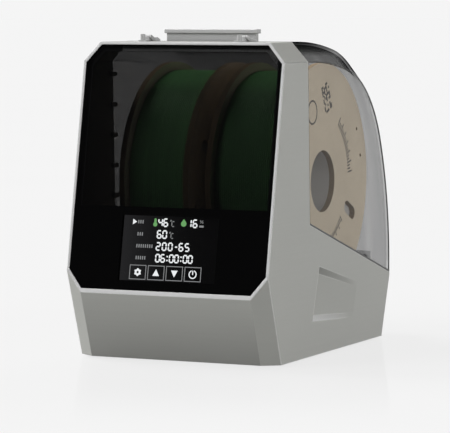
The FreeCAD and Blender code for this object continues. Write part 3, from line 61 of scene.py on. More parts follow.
# The leaning front: the middle of the lip under the glass, the lean, and how far back the glass reaches
LIP = Vector((0.0, -146.7, 56.5)) * MM
LEAN = math.radians(10.65)
GLASS_BACK = 3.4 * MM

# The glass's black print: its heights and half widths, the slant of its corners and the blur of its edges
PRINT_TOP = 127.3 * MM
WINDOW_HALF = 43.4 * MM
WINDOW_LOW = 67.5 * MM
WINDOW_TOP = 120.4 * MM
BORDER_HALF = 86.0 * MM
BORDER_TOP = 257.5 * MM
BORDER_CORNER = 227.4 * MM
BORDER_SLANT = (0.752, 0.66)
PRINT_BLUR = 0.15 * MM

# From where on outwards the ledge behind the glass gets painted shade and the seam round the lid's panes is
# dark
LEDGE_RIGHT = 83.5 * MM
LEDGE_LEFT = -57.0 * MM
LEDGE_BLUR = 1.0 * MM
SEAM_HALF = 89.6 * MM
SEAM_BLUR = 0.2 * MM

# The carrying recess in the sides: its top, and from where to where the painted highlight on its lower wall
# grows
GRIP_TOP = 90.0 * MM
GRIP_BLUR = 2.0 * MM
GRIP_HIGHLIGHT_GROWS = (30.0 * MM, -45.0 * MM)

# Painted highlights: how much paler the shell is on the lower wall of the carrying recess and on the rim
# around the glass, and the painted shade that makes the rim darker to the left
GRIP_PAINTED_HIGHLIGHT = 1.9
RIM_PAINTED_HIGHLIGHT = 1.3
RIM_LEFT_PAINTED_SHADE = 0.9
RIM_LEFT_SHADE_GROWS = (-80.0 * MM, -86.0 * MM)

# Painted shade: how much darker the shell's undercut faces are at their foot
FOOT_SHADE = 0.35

# Painted highlights along the edges of the shell and of small silver parts: how wide, how pale and in which
# tone
SHELL_EDGE_HIGHLIGHT = (1.2 * MM, 0.9, (0.7, 0.71, 0.69))
TRIM_EDGE_HIGHLIGHT = (0.4 * MM, 0.3, (0.6, 0.6, 0.58))

# How far a face turns to count as square to the front, turned up, undercut, narrow or turned inwards
SQUARE_TURN = (0.95, 0.985)
UP_TURN = (0.1, 0.3)
UNDER_TURN = (-0.05, -0.2)
NARROW_TURN = (0.4, 0.2)
INWARD_TURN = (0.3, 0.35)

# Above which height and before which depth the shell's inner faces also look down and back
INNER_ABOVE = (200.0 * MM, 210.0 * MM)
INNER_BEFORE = (-100.0 * MM, -101.0 * MM)

# Clouds to a metre in the silver paint, and along the axes where a pattern is drawn out
PAINT_FLAKE = 3200
PAINT_SKIN = 900
PAINT_GLOSS = 650
PAINT_DRIFT = 11
SHELL_STREAK = (9, 9, 520)
TRIM_STREAK = (15, 300, 300)
LID_FLOW = (150, 4, 4)
CARD_FIBRE = (900, 160, 500)
STRAND_TURNS = (560, 3, 3)

# Grain and spots of the bare metals: clouds to a metre, their detail and how much they tone the colour
STEEL_RINGS = ((2600, 500, 500), 2.0, 0.2)
STEEL_STAINS = (120, 3.0, 0.15)
FIN_STREAK = ((60, 2200, 60), 3.0, 0.25)
FIN_SPOTS = (200, 2.0, 0.1)
BLADE_RUB = ((2000, 80, 2000), 3.0, 0.2)

# Where the usual clouds of a pattern start and end
CLOUD_SPAN = (0.3, 0.7)

# Thickness of the card's pressed layers
CARD_LAYER = 0.6 * MM

# What is left of the glass's, the lid's and the panes' opacity for lamp light
GLASS_LAMP = 0.35
LID_LAMP = 0.06
PANE_LAMP = 0.1

# Colours that stay as they are
GLASS_BLACK = (0.001, 0.001, 0.0011)
SMOKE = (0.012, 0.012, 0.0125)
PANE_DARK = (0.02, 0.02, 0.02)
LIT_BASE = (0.02, 0.02, 0.02)
STEEL = (0.58, 0.58, 0.57)
ALUMINIUM = (0.62, 0.63, 0.64)
BRASS = (0.75, 0.62, 0.38)
BOARD = (0.012, 0.1, 0.045)
BOARD_TRACK = (0.03, 0.17, 0.07)
SOLDER = (0.6, 0.6, 0.58)
RUBBER = (0.014, 0.014, 0.014)
DUST = (0.06, 0.058, 0.055)
DISPLAY_DARK = (0.002, 0.002, 0.002)
DISPLAY_PAINTED_REFLECTION = (0.017, 0.017, 0.018)
SEAL_GREY = (0.1, 0.1, 0.1)
ROLLER_GREY = (0.16, 0.16, 0.165)
HINGE_BLACK = (0.035, 0.035, 0.037)
INLET_BLACK = (0.012, 0.012, 0.012)
FAN_BLACK = (0.016, 0.016, 0.017)


def colour_property(name, description, default):
    """A colour that a user may change."""
    return FloatVectorProperty(name=name, description=description, default=default, subtype="COLOR", size=3,
                               min=0.0, max=1.0)


def length_property(name, description, default):
    """A length that a user may change."""
    return FloatProperty(name=name, description=description, default=default, unit="LENGTH", precision=5)


def share_property(name, description, default):
    """A share from 0 to 1 that a user may change."""
    return FloatProperty(name=name, description=description, default=default, subtype="FACTOR", min=0.0,
                         max=1.0)


class DryerFinishes(bpy.types.PropertyGroup):
    """Colours and clearness of the box's surfaces."""

    shell: colour_property("Shell", "Silver paint of the housing", (0.365, 0.368, 0.345))
    inside: colour_property("Inside", "Dark inner side of the housing panels", (0.012, 0.012, 0.013))
    moulding: colour_property("Moulding", "Black moulded plastic", (0.02, 0.02, 0.021))
    card: colour_property("Card", "Pressed card of the spools", (0.8, 0.69, 0.53))
    liner: colour_property("Liner", "Grey card of the cores and beside the windings", (0.62, 0.6, 0.57))
    ink: colour_property("Ink", "Marks printed on the card", (0.1, 0.09, 0.08))
    strand: colour_property("Strand", "Wound filament", (0.28, 0.7, 0.27))
    outlet: colour_property("Outlet", "Tubes and caps on the top", (0.33, 0.33, 0.33))
    lit: colour_property("Lit", "Lit digits of the display", (0.92, 0.94, 0.96))
    sign: colour_property("Sign", "Green signs of the display", (0.22, 0.6, 0.19))
    glass_clear: share_property("Glass clearness", "Light let through one face of the tinted front", 0.225)
    smoke_clear: share_property("Smoke clearness", "Light let through one face of the smoked lid", 0.72)
    pane_clear: share_property("Pane clearness", "Light let through one face of a side pane", 0.945)


class DryerSizes(bpy.types.PropertyGroup):
    """Sizes of the pieces that are modelled here."""

    strand_width: length_property("Strand width", "Thickness of the wound filament", 1.75 * MM)
    strand_waver: length_property("Strand waver", "Most that a turn stands out", 0.09 * MM)
    turns_around: IntProperty(name="Turns around", description="Steps around a winding", default=120, min=24)
    display_gap: length_property("Display gap", "Room between the glass and the display", 0.25 * MM)
    print_height: length_property("Print height", "Thickness of printed marks", 0.05 * MM)


class Nodes:
    """A node tree that is built a node at a time."""

    def __init__(self, tree):
        self.tree = tree
        self.tree.nodes.clear()

    def add(self, kind, inputs=None, **settings):
        """A node with its settings, and its inputs set or linked."""
        node = self.tree.nodes.new(kind)
        for key, value in settings.items():
            setattr(node, key, value)
        for key, value in (inputs or {}).items():
            if isinstance(value, bpy.types.NodeSocket):
                self.tree.links.new(value, node.inputs[key])
            else:
                node.inputs[key].default_value = value
        return node

    def sum(self, operation, *values, clamp=False):
        """The result of one Math node."""
        node = self.add("ShaderNodeMath", dict(enumerate(values)), operation=operation, use_clamp=clamp)
        return node.outputs[0]

    def times(self, value, *others):
        """The product of values."""
        for other in others:
            value = self.sum("MULTIPLY", value, other)
        return value

    def most(self, value, *others):
        """The largest of values."""
        for other in others:
            value = self.sum("MAXIMUM", value, other)
        return value

    def size(self, value):
        """A value without its sign."""
        return self.sum("ABSOLUTE", value)

    def axes(self, vector):
        """The three parts of a vector."""
        return self.add("ShaderNodeSeparateXYZ", {0: vector}).outputs

    def ramp(self, value, start, end, low=0.0, high=1.0, smooth=False):
        """A value mapped from start..end to low..high."""
        inputs = {"Value": value, "From Min": start, "From Max": end, "To Min": low, "To Max": high}
        kind = "SMOOTHSTEP" if smooth else "LINEAR"
        return self.add("ShaderNodeMapRange", inputs, interpolation_type=kind).outputs[0]

    def past(self, value, line, blur):
        """1 past a line and 0 before it, or the other way round for a blur below 0."""
        return self.ramp(value, line - blur, line + blur)

    def level(self, pattern, low, high):
        """A value from low to high that follows a cloudy pattern."""
        return self.ramp(pattern, *CLOUD_SPAN, low, high)

    def seen_ray(self, path):
        """1 for rays that show the background: from the camera, or mirrored or let through by the object."""
        return self.most(path["Is Camera Ray"], path["Is Glossy Ray"], path["Is Transmission Ray"])


class Finish(Nodes):
    """One material on Object coordinates."""

    def __init__(self, name):
        self.material = bpy.data.materials.new(name)
        self.material.use_nodes = True
        super().__init__(self.material.node_tree)
        self.output = self.add("ShaderNodeOutputMaterial")
        coordinates = self.add("ShaderNodeTexCoord")
        self.place = coordinates.outputs["Object"]
        self.facing = coordinates.outputs["Normal"]

    def turned(self, scale, turn=(0.0, 0.0, 0.0)):
        """Object coordinates, turned and then stretched."""
        inputs = {"Vector": self.place, "Rotation": turn, "Scale": [1.0 / part for part in scale]}
        return self.add("ShaderNodeMapping", inputs, vector_type="TEXTURE").outputs[0]

    def noise(self, scale, detail=2.0, place=None):
        """A cloudy pattern from 0 to 1, with this many clouds to a metre."""
        inputs = {"Vector": place or self.place, "Scale": scale, "Detail": detail}
        return self.add("ShaderNodeTexNoise", inputs).outputs["Fac"]

    def drawn_out(self, scale, detail, turn=(0.0, 0.0, 0.0)):
        """A cloudy pattern with its own number of clouds to a metre along each axis."""
        return self.noise(1.0, detail, self.turned(scale, turn))

    def cells(self, scale):
        """Distances in a cell pattern, with this many cells to a metre."""
        return self.add("ShaderNodeTexVoronoi", {"Vector": self.place, "Scale": scale}).outputs["Distance"]

    def toned(self, colour, *parts):
        """A colour made lighter and darker by (pattern, amount) pairs."""
        level = 1.0 - sum(amount for _, amount in parts) / 2
        for pattern, amount in parts:
            level = self.sum("MULTIPLY_ADD", pattern, amount, level)
        return self.add("ShaderNodeVectorMath", {0: colour, "Scale": level}, operation="SCALE").outputs[0]

    def mixed(self, share, first, second):
        """Two colours mixed by a share."""
        node = self.add("ShaderNodeMix", {"Factor": share}, data_type="RGBA")
        for index, colour in ((6, first), (7, second)):
            if isinstance(colour, bpy.types.NodeSocket):
                self.tree.links.new(colour, node.inputs[index])
            else:
                node.inputs[index].default_value = (*colour, 1.0)
        return node.outputs[2]

    def softened(self, radius):
        """Normals that round the edges off."""
        return self.add("ShaderNodeBevel", {"Radius": radius}, samples=4).outputs[0]

    def edge(self, soft):
        """1 along the edges and 0 on the faces, from softened normals."""
        normals = {0: soft, 1: self.add("ShaderNodeNewGeometry").outputs["Normal"]}
        along = self.add("ShaderNodeVectorMath", normals, operation="DOT_PRODUCT").outputs["Value"]
        return self.ramp(along, 0.995, 0.93)

    def bump(self, *parts, normal=None):
        """Normals raised by (pattern, height) pairs."""
        for pattern, height in parts:
            inputs = {"Height": pattern, "Distance": height, "Strength": 1.0}
            if normal is not None:
                inputs["Normal"] = normal
            normal = self.add("ShaderNodeBump", inputs).outputs[0]
        return normal

    def shader(self, **inputs):
        """A Principled shader with its inputs, their names written with underscores."""
        names = {key.replace("_", " "): value for key, value in inputs.items()}
        for key in ("Base Color", "Emission Color"):
            if key in names and not isinstance(names[key], bpy.types.NodeSocket):
                names[key] = (*names[key], 1.0)
        return self.add("ShaderNodeBsdfPrincipled", names).outputs[0]

    def done(self, shader):
        """The material, with the shader on its surface."""
        self.tree.links.new(shader, self.output.inputs["Surface"])
        return self.material

    def solid(self, **inputs):
        """The material, with one Principled shader on its surface."""
        return self.done(self.shader(**inputs))

    def film(self, clear, pattern, spread):
        """The opacity of a film of a clearness, uneven by a pattern."""
        return self.sum("MULTIPLY_ADD", pattern, spread, 1.0 - clear - spread / 2)

    def thinned(self, opacity, share):
        """An opacity that is lowered to a share for lamp light, so that what lies behind is lit."""
        lamp = self.add("ShaderNodeLightPath").outputs["Is Shadow Ray"]
        return self.times(opacity, self.ramp(lamp, 0.0, 1.0, 1.0, share))

    def seen_through(self, opacity, shader):
        """The material, with the shader laid over clear glass by an opacity."""
        clear = self.add("ShaderNodeBsdfTransparent").outputs[0]
        return self.done(self.add("ShaderNodeMixShader", {0: opacity, 1: clear, 2: shader}).outputs[0])


def silver_paint(colour, inside):
    """Silver paint with fine flake, over panels that are dark on their inner side, with painted highlights
    on its edges, grip and rim and painted shade at its foot, its left rim and the ledge behind the glass.
    """
    f = Finish("silver_paint")
    highlight_width, highlight_share, highlight_tone = SHELL_EDGE_HIGHLIGHT
    soft = f.softened(highlight_width)
    flake = f.noise(PAINT_FLAKE, 1.0)
    streak = f.drawn_out(SHELL_STREAK, 3.0)
    paint = f.toned(colour, (flake, 0.12), (f.noise(PAINT_DRIFT), 0.05), (streak, 0.05))
    grey = sum(colour) / 3
    x, y, z = f.axes(f.place)
    across, along, up = f.axes(f.facing)
    lean = f.sum("SUBTRACT", f.times(up, math.sin(LEAN)), f.times(along, math.cos(LEAN)))
    square = f.ramp(lean, *SQUARE_TURN)
    # Painted highlight on the lower wall of the carrying recess, fading towards the rear
    grip_highlight = f.times(f.ramp(up, *UP_TURN), f.ramp(z, GRIP_TOP + GRIP_BLUR, GRIP_TOP), f.ramp(y, *GRIP_HIGHLIGHT_GROWS))
    paint = f.mixed(grip_highlight, paint, [grey * GRIP_PAINTED_HIGHLIGHT] * 3)
    # Painted highlight along the edges
    paint = f.mixed(f.times(f.edge(soft), highlight_share), paint, highlight_tone)
    # Painted highlight on the faces square to the front round the glass, with painted shade that darkens it
    # to the left
    pale = grey * RIM_PAINTED_HIGHLIGHT
    rim = f.mixed(f.ramp(x, *RIM_LEFT_SHADE_GROWS), [pale] * 3, [pale * RIM_LEFT_PAINTED_SHADE] * 3)
    paint = f.mixed(square, paint, rim)
    # Painted shade on undercut faces, darker towards their foot
    foot = f.times(f.ramp(up, *UNDER_TURN), f.ramp(z, LIP.z, 0.0), f.ramp(f.size(across), *NARROW_TURN))
    paint = f.mixed(f.times(foot, FOOT_SHADE), paint, BLACK)
    inward = f.times(f.sum("SIGN", x), across, -1.0)
    downward = f.times(f.ramp(z, *INNER_ABOVE), up, -1.0)
    backward = f.times(f.ramp(y, *INNER_BEFORE), along)
    inner = f.ramp(f.most(inward, downward, backward), *INWARD_TURN)
    # Painted shade on the ledge behind the glass towards the sides, in the dark inside colour
    sunk = f.sum("SUBTRACT", f.times(f.sum("SUBTRACT", y, LIP.y), math.cos(LEAN)),
                 f.times(f.sum("SUBTRACT", z, LIP.z), math.sin(LEAN)))
    beside = f.most(f.ramp(x, LEDGE_RIGHT - LEDGE_BLUR, LEDGE_RIGHT),
                    f.ramp(x, LEDGE_LEFT, LEDGE_LEFT - LEDGE_BLUR))
    ledge_shade = f.times(f.ramp(sunk, GLASS_BACK - LEDGE_BLUR, GLASS_BACK - LEDGE_BLUR / 2), square, beside,
                    f.ramp(z, LIP.z, LIP.z + LEDGE_BLUR))
    inner = f.most(inner, ledge_shade)
    base = f.mixed(inner, paint, f.toned(inside, (f.noise(1500), 0.5)))
    rough = f.most(f.level(f.noise(PAINT_GLOSS), 0.36, 0.46), f.times(inner, 0.6))
    normal = f.bump((f.noise(PAINT_SKIN), 0.012 * MM), (flake, 0.004 * MM), normal=soft)
    return f.solid(Base_Color=base, Metallic=0.05, Roughness=rough, Specular_IOR_Level=0.3, Normal=normal)


def silver_trim(colour):
    """The same silver paint on a small part, all over, with a painted highlight along its edges."""
    f = Finish("silver_trim")
    highlight_width, highlight_share, highlight_tone = TRIM_EDGE_HIGHLIGHT
    soft = f.softened(highlight_width)
    paint = f.toned(colour, (f.noise(PAINT_FLAKE, 1.0), 0.12), (f.drawn_out(TRIM_STREAK, 3.0), 0.08))
    # Painted highlight along the edges
    paint = f.mixed(f.times(f.edge(soft), highlight_share), paint, highlight_tone)
    rough = f.level(f.noise(PAINT_GLOSS), 0.34, 0.44)
    normal = f.bump((f.noise(PAINT_SKIN), 0.012 * MM), normal=soft)
    return f.solid(Base_Color=paint, Metallic=0.2, Roughness=rough, Normal=normal)


def moulded(name, colour, grain=1500, rough=(0.45, 0.62), depth=0.05 * MM):
    """Moulded plastic with a spark-eroded grain, and a painted highlight that makes it a little paler along
    its edges.
    """
    f = Finish(name)
    soft = f.softened(0.3 * MM)
    pits = f.cells(grain)
    base = f.toned(colour, (pits, 0.3), (f.noise(30), 0.15))
    pale_edge_highlight = [min(1.0, part * 1.8 + 0.02) for part in colour]
    # Painted highlight along the edges
    base = f.mixed(f.times(f.edge(soft), 0.4), base, pale_edge_highlight)
    normal = f.bump((pits, depth), (f.noise(grain * 2), depth / 3), normal=soft)
    return f.solid(Base_Color=base, Roughness=f.level(f.noise(grain / 3), *rough), Normal=normal)


def tinted_glass(clear):
    """Dark glass with black print behind its border and its lower part, and a window for the display."""
    f = Finish("tinted_glass")
    x, _, z = f.axes(f.place)
    across = f.size(x)
    slant = f.sum("ADD", f.times(across, BORDER_SLANT[0]), f.times(z, BORDER_SLANT[1]))
    printed = f.most(f.past(z, PRINT_TOP, -PRINT_BLUR), f.past(across, BORDER_HALF, PRINT_BLUR),
                     f.past(z, BORDER_TOP, PRINT_BLUR), f.past(slant, BORDER_CORNER, PRINT_BLUR))
    window = f.times(f.past(across, WINDOW_HALF, -PRINT_BLUR), f.past(z, WINDOW_LOW, PRINT_BLUR),
                     f.past(z, WINDOW_TOP, -PRINT_BLUR))
    film = f.thinned(f.film(clear, f.noise(6), 0.03), GLASS_LAMP)
    opacity = f.sum("MINIMUM", f.most(film, printed), f.ramp(window, 0.0, 1.0, 1.0, 0.25))
    smear = f.ramp(f.noise(25, 4.0), 0.35, 0.75, 0.015, 0.05)
    return f.seen_through(opacity, f.shader(Base_Color=GLASS_BLACK, Roughness=smear))


def smoked_plastic(clear):
    """Smoked plastic with faint flow lines along the arch, dark where it is seen along its face."""
    f = Finish("smoked_plastic")
    facing = f.add("ShaderNodeLayerWeight", {"Blend": 0.5}).outputs["Facing"]
    film = f.film(clear, f.drawn_out(LID_FLOW, 1.0), 0.24)
    x, _, _ = f.axes(f.place)
    across, _, _ = f.axes(f.facing)
    outward = f.times(f.sum("SIGN", x), across)
    start = f.ramp(outward, 0.2, 0.4, 0.68, 0.74)
    along = f.most(f.times(f.sum("POWER", facing, 2.0), 0.34), f.ramp(facing, start, 0.93))
    along = f.times(along, f.ramp(outward, -0.4, -0.2))
    opacity = f.sum("MULTIPLY_ADD", f.sum("SUBTRACT", 1.0, film), along, film, clamp=True)
    rough = f.ramp(f.noise(40, 3.0), 0.35, 0.7, 0.05, 0.12)
    dark = f.shader(Base_Color=SMOKE, Roughness=rough, Specular_IOR_Level=0.0,
                    Normal=f.bump((f.noise(22), 0.1 * MM)))
    return f.seen_through(f.thinned(opacity, LID_LAMP), dark)


def clear_plastic(clear):
    """Clear side pane, faintly grey, with a glossy face and a dark bonded seam round it."""
    f = Finish("clear_plastic")
    gloss = f.add("ShaderNodeFresnel", {"IOR": 1.49}).outputs[0]
    film = f.film(clear, f.noise(18, 3.0), 0.03)
    x, _, _ = f.axes(f.place)
    across, _, _ = f.axes(f.facing)
    seam = f.times(f.ramp(f.size(across), 0.9, 0.6, 0.0, 0.95), f.past(f.size(x), SEAM_HALF, SEAM_BLUR))
    opacity = f.most(f.sum("MULTIPLY_ADD", gloss, 0.3, film), seam)
    rough = f.ramp(f.noise(60, 3.0), 0.35, 0.75, 0.02, 0.07)
    return f.seen_through(f.thinned(opacity, PANE_LAMP), f.shader(Base_Color=PANE_DARK, Roughness=rough))


def pressed_card(name, colour, rim_shade=0.35):
    """Card: fibres on its faces, and pressed layers on its rim, which may be darker."""
    f = Finish(name)
    fibre = f.drawn_out(CARD_FIBRE, 4.0, (0.5, 0.0, 0.0))
    fleck = f.ramp(f.cells(420), 0.0, 0.16, 1.0, 0.0)
    x, _, _ = f.axes(f.place)
    across, _, _ = f.axes(f.facing)
    rim = f.ramp(f.size(across), 0.6, 0.4)
    layer = f.sum("SINE", f.times(x, 2 * math.pi / CARD_LAYER))
    layer = f.times(rim, f.sum("MULTIPLY_ADD", layer, 0.5, 0.5))
    base = f.toned(colour, (fibre, 0.22), (f.noise(28, 3.0), 0.12), (layer, 0.25))
    base = f.mixed(f.times(fleck, 0.25), base, [part * 0.6 for part in colour])
    base = f.mixed(f.times(rim, rim_shade), base, [part ** 3 * 0.45 for part in colour])
    normal = f.bump((fibre, 0.05 * MM), (layer, 0.08 * MM))
    rough = f.ramp(fibre, 0.2, 0.8, 0.78, 0.92)
    return f.solid(Base_Color=base, Roughness=rough, Specular_IOR_Level=0.3, Normal=normal)


def strand_plastic(colour):
    """Satin filament with a fine fibre fill, and painted shade that makes the grooves between its turns
    darker.
    """
    f = Finish("strand_plastic")
    fibre = f.noise(2600, 2.0)
    base = f.toned(colour, (fibre, 0.25), (f.drawn_out(STRAND_TURNS, 1.0), 0.8))
    across, _, _ = f.axes(f.facing)
    # Painted shade in the grooves between the turns
    groove_shade = f.ramp(f.size(across), 0.35, 0.9, 0.0, 0.6)
    base = f.mixed(groove_shade, base, [part * 0.12 for part in colour])
    return f.solid(Base_Color=base, Roughness=f.level(fibre, 0.42, 0.58), Normal=f.bump((fibre, 0.03 * MM)))


def bare_metal(name, colour, grain, rough, spots=None, stained=False):
    """Bare metal with a drawn-out grain and maybe spots, which set its gloss where it is stained."""
    f = Finish(name)
    scale, detail, tone = grain
    parts = [(f.drawn_out(scale, detail), tone)]
    if spots:
        scale, detail, tone = spots
        parts.append((f.noise(scale, detail), tone))
    gloss = f.level(parts[int(stained)][0], *rough)
    normal = f.bump((parts[0][0], 0.01 * MM))
    return f.solid(Base_Color=f.toned(colour, *parts), Metallic=1.0, Roughness=gloss, Normal=normal)


def circuit_board():
    """Green board with copper tracks under its varnish and pale solder spots."""
    f = Finish("circuit_board")
    place = f.turned((1, 1, 1), (math.pi / 2, 0, 0))
    inputs = {"Vector": place, "Scale": 160.0, "Mortar Size": 0.06, "Color1": (*BLACK, 1.0),
              "Color2": (*BLACK, 1.0), "Mortar": (1.0, 1.0, 1.0, 1.0)}
    tracks = f.add("ShaderNodeTexBrick", inputs).outputs["Fac"]
    solder = f.ramp(f.cells(260), 0.1, 0.14, 1.0, 0.0)
    base = f.mixed(tracks, f.toned(BOARD, (f.noise(300), 0.2)), BOARD_TRACK)
    base = f.mixed(solder, base, SOLDER)
    rough = f.ramp(solder, 0.0, 1.0, 0.32, 0.25)
    normal = f.bump((tracks, 0.03 * MM), (solder, 0.1 * MM))
    return f.solid(Base_Color=base, Roughness=rough, Normal=normal)


def soft_rubber():
    """Matt black rubber with a dusting."""
    f = Finish("soft_rubber")
    grain = f.noise(2400, 3.0)
    dust = f.ramp(f.noise(90, 4.0), 0.55, 0.8)
    base = f.mixed(f.times(dust, 0.2), f.toned(RUBBER, (grain, 0.4)), DUST)
    return f.solid(Base_Color=base, Roughness=f.level(grain, 0.72, 0.9), Normal=f.bump((grain, 0.05 * MM)))


def display_film():
    """Dark face of the display, with a painted reflection that glows faintly from its left edge."""
    f = Finish("display_film")
    x, _, _ = f.axes(f.place)
    # Painted reflection: emission that fades from the left edge to the right
    glow = f.sum("POWER", f.ramp(x, 43.0 * MM, -43.0 * MM), 2.6)
    dots = f.cells(2400)
    lit = f.toned(DISPLAY_PAINTED_REFLECTION, (glow, 1.6), (dots, 0.2))
    rough = f.ramp(dots, 0.0, 0.6, 0.5, 0.65)
    return f.solid(Base_Color=DISPLAY_DARK, Roughness=rough, Specular_IOR_Level=0.0, Emission_Color=lit,
                   Emission_Strength=1.0)


def glowing(name, colour, strength=1.0):
    """A lit part of the display, a little uneven."""
    f = Finish(name)
    lit = f.toned(colour, (f.noise(900), 0.15), (f.cells(3000), 0.1))
    return f.solid(Base_Color=LIT_BASE, Roughness=f.level(f.noise(900), 0.4, 0.5), Emission_Color=lit,
                   Emission_Strength=strength)


def printed_ink(colour):
    """Ink that has sunk into the card."""
    f = Finish("printed_ink")
    sunk = f.noise(1600, 3.0)
    base = f.toned(colour, (sunk, 0.8))
    return f.solid(Base_Color=base, Roughness=f.level(sunk, 0.7, 0.9), Normal=f.bump((sunk, 0.02 * MM)))


def finishes():
    """The colours and clearness that the user has set."""
    return bpy.context.scene.dryer_finishes


def sizes():
    """The sizes that the user has set."""
    return bpy.context.scene.dryer_sizes


def dress(material, *nodes):
    """Puts a material on carried-over nodes."""
    for name in nodes:
        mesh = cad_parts[name].data
        mesh.materials.clear()
        mesh.materials.append(material)


def add_piece(name, bm, materials, body, replaced=(), smooth_below=None):
    """A new piece from a bmesh, riding on a body."""
    bmesh.ops.recalc_face_normals(bm, faces=bm.faces)
    mesh = bpy.data.meshes.new(name)
    for face in bm.faces:
        face.smooth = smooth_below is not None
    bm.to_mesh(mesh)
    bm.free()
    if smooth_below is not None:
        mesh.set_sharp_from_angle(angle=math.radians(smooth_below))
    for material in materials:
        mesh.materials.append(material)
    piece = bpy.data.objects.new(name, mesh)
    bpy.context.scene.collection.objects.link(piece)
    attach(piece, body)
    if replaced:
        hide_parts(*replaced)


def on_glass(depth):
    """Places flat work (across, up, outward) at a depth behind the front plane."""
    across = Vector((1, 0, 0))
    up = Vector((0, math.sin(LEAN), math.cos(LEAN)))
    out = Vector((0, -math.cos(LEAN), math.sin(LEAN)))
    turn = Matrix((across, up, out)).transposed().to_4x4()
    return Matrix.Translation(LIP - out * depth) @ turn


def flat_face(bm, points):
    """A flat face through a few points of the drawing plane, in millimetres."""
    return bm.faces.new([bm.verts.new((x * MM, y * MM, 0)) for x, y in points])


def bar(bm, start, end, width):
    """A bar with pointed ends."""
    start, end = Vector(start), Vector(end)
    along = (end - start).normalized() * width / 2
    aside = Vector((-along.y, along.x))
    flat_face(bm, (start, start + along - aside, end - along - aside, end, end - along + aside,
                   start + along + aside))


def plate(bm, left, low, right, top, corner):
    """A plate with rounded corners."""
    face = flat_face(bm, ((left, low), (right, low), (right, top), (left, top)))
    bmesh.ops.bevel(bm, geom=face.verts[:], offset=corner * MM, segments=4, profile=0.5, affect="VERTICES",
                    material=-1)


def disc(bm, x, y, radius, segments=24):
    """A round face. It returns its vertices."""
    made = bmesh.ops.create_circle(bm, cap_ends=True, segments=segments, radius=radius * MM,
                                   matrix=Matrix.Translation((x * MM, y * MM, 0)))
    return made["verts"]


def thicken(bm, height):
    """Flat work raised to a thin plate that stands out from the drawing plane."""
    bmesh.ops.recalc_face_normals(bm, faces=bm.faces)
    made = bmesh.ops.extrude_face_region(bm, geom=bm.faces[:])
    verts = [item for item in made["geom"] if isinstance(item, bmesh.types.BMVert)]
    bmesh.ops.translate(bm, verts=verts, vec=(0, 0, height))


# The bars lit for each digit: top, upper and lower right, bottom, lower and upper left, middle
DIGIT_BARS = {"0": "1111110", "1": "0110000", "2": "1101101", "3": "1111001", "4": "0110011",
              "5": "1011011", "6": "1011111", "7": "1110000", "8": "1111111", "9": "1111011"}
DIGIT_WIDTH = 3.3
DIGIT_HEIGHT = 6.0
DIGIT_STROKE = 1.15
DIGIT_GAP = 0.1
DASH = (0.3, 2.8)
DASH_STEP = 4.2
COLON_STEP = 3.1
COLON_RISE = 1.6
COLON_RADIUS = 0.7

# Readings by row: how far up the glass, where the first digit starts, the text and the step between digits
READINGS = ((60.2, -11.95, "46", 4.7), (60.2, 13.9, "16", 5.2), (50.45, -12.3, "60", 4.9),
            (40.6, -12.4, "200-65", 5.45), (31.0, -12.15, "06:00:00", 4.65))

# Unit signs by row, and gauges of small bars: how far up, where they start and how many bars
UNITS = ((60.2, -1.7), (50.45, -1.7))
GAUGES = ((60.3, -30.6, 3), (50.3, -30.4, 3), (40.5, -30.6, 8), (30.8, -30.4, 5))
GAUGE_STEP = 1.95
GAUGE_BAR = (1.0, 2.9)

# Touch keys under the readings
KEY_COUNT = 4
KEY_WIDTH = 15.0
KEY_HEIGHT = 12.0
KEY_PITCH = 16.53
KEY_LEFT = -35.0
KEY_LOW = 12.9
KEY_LINE = 0.6

# The display's frame, its recessed face, and the signs beside the readings
PANEL_HALF = 44.6
PANEL_LOW = 8.9
PANEL_TOP = 67.3
PANEL_THICK = 3.2
PANEL_SINK = 0.12 * MM
POINTER = ((-35.3, 57.9), (-31.6, 60.2), (-35.3, 62.5))
BULB = (-15.0, 58.6, 1.85)
STEM = (-16.0, 59.4, -14.0, 63.5, 0.9)
DROP = (10.6, 59.9, 2.45, 1.2)
SHARE_PLACE = (26.6, 60.2)

# How brightly the readings and keys are lit, and the share of that tone for labels
LIT_STRENGTH = 1.6
LABEL_SHARE = 0.42


def digit(bm, sign, x, y):
    """One seven-bar digit, centred on a height."""
    low, top = y - DIGIT_HEIGHT / 2, y + DIGIT_HEIGHT / 2
    left, right = x + DIGIT_GAP, x + DIGIT_WIDTH - DIGIT_GAP
    ends = (((left, top), (right, top)),
            ((x + DIGIT_WIDTH, top - DIGIT_GAP), (x + DIGIT_WIDTH, y + DIGIT_GAP)),
            ((x + DIGIT_WIDTH, y - DIGIT_GAP), (x + DIGIT_WIDTH, low + DIGIT_GAP)),
            ((left, low), (right, low)),
            ((x, y - DIGIT_GAP), (x, low + DIGIT_GAP)),
            ((x, top - DIGIT_GAP), (x, y + DIGIT_GAP)),
            ((left, y), (right, y)))
    for (start, end), lit in zip(ends, DIGIT_BARS[sign]):
        if lit == "1":
            bar(bm, start, end, DIGIT_STROKE)


def reading(bm, x, y, text, step):
    """A row of digits, dashes and colons."""
    for sign in text:
        if sign == "-":
            bar(bm, (x + DASH[0], y), (x + DASH[1], y), DIGIT_STROKE)
            x += DASH_STEP
        elif sign == ":":
            for side in (-1, 1):
                disc(bm, x + COLON_STEP / 2 - DIGIT_STROKE / 2, y + side * COLON_RISE, COLON_RADIUS, 8)
            x += COLON_STEP
        else:
            digit(bm, sign, x, y)
            x += step


def gauge(bm, x, y, count):
    """A row of small upright bars."""
    width, height = GAUGE_BAR
    for index in range(count):
        left = x + index * GAUGE_STEP
        plate(bm, left, y - height / 2, left + width, y + height / 2, 0.3)


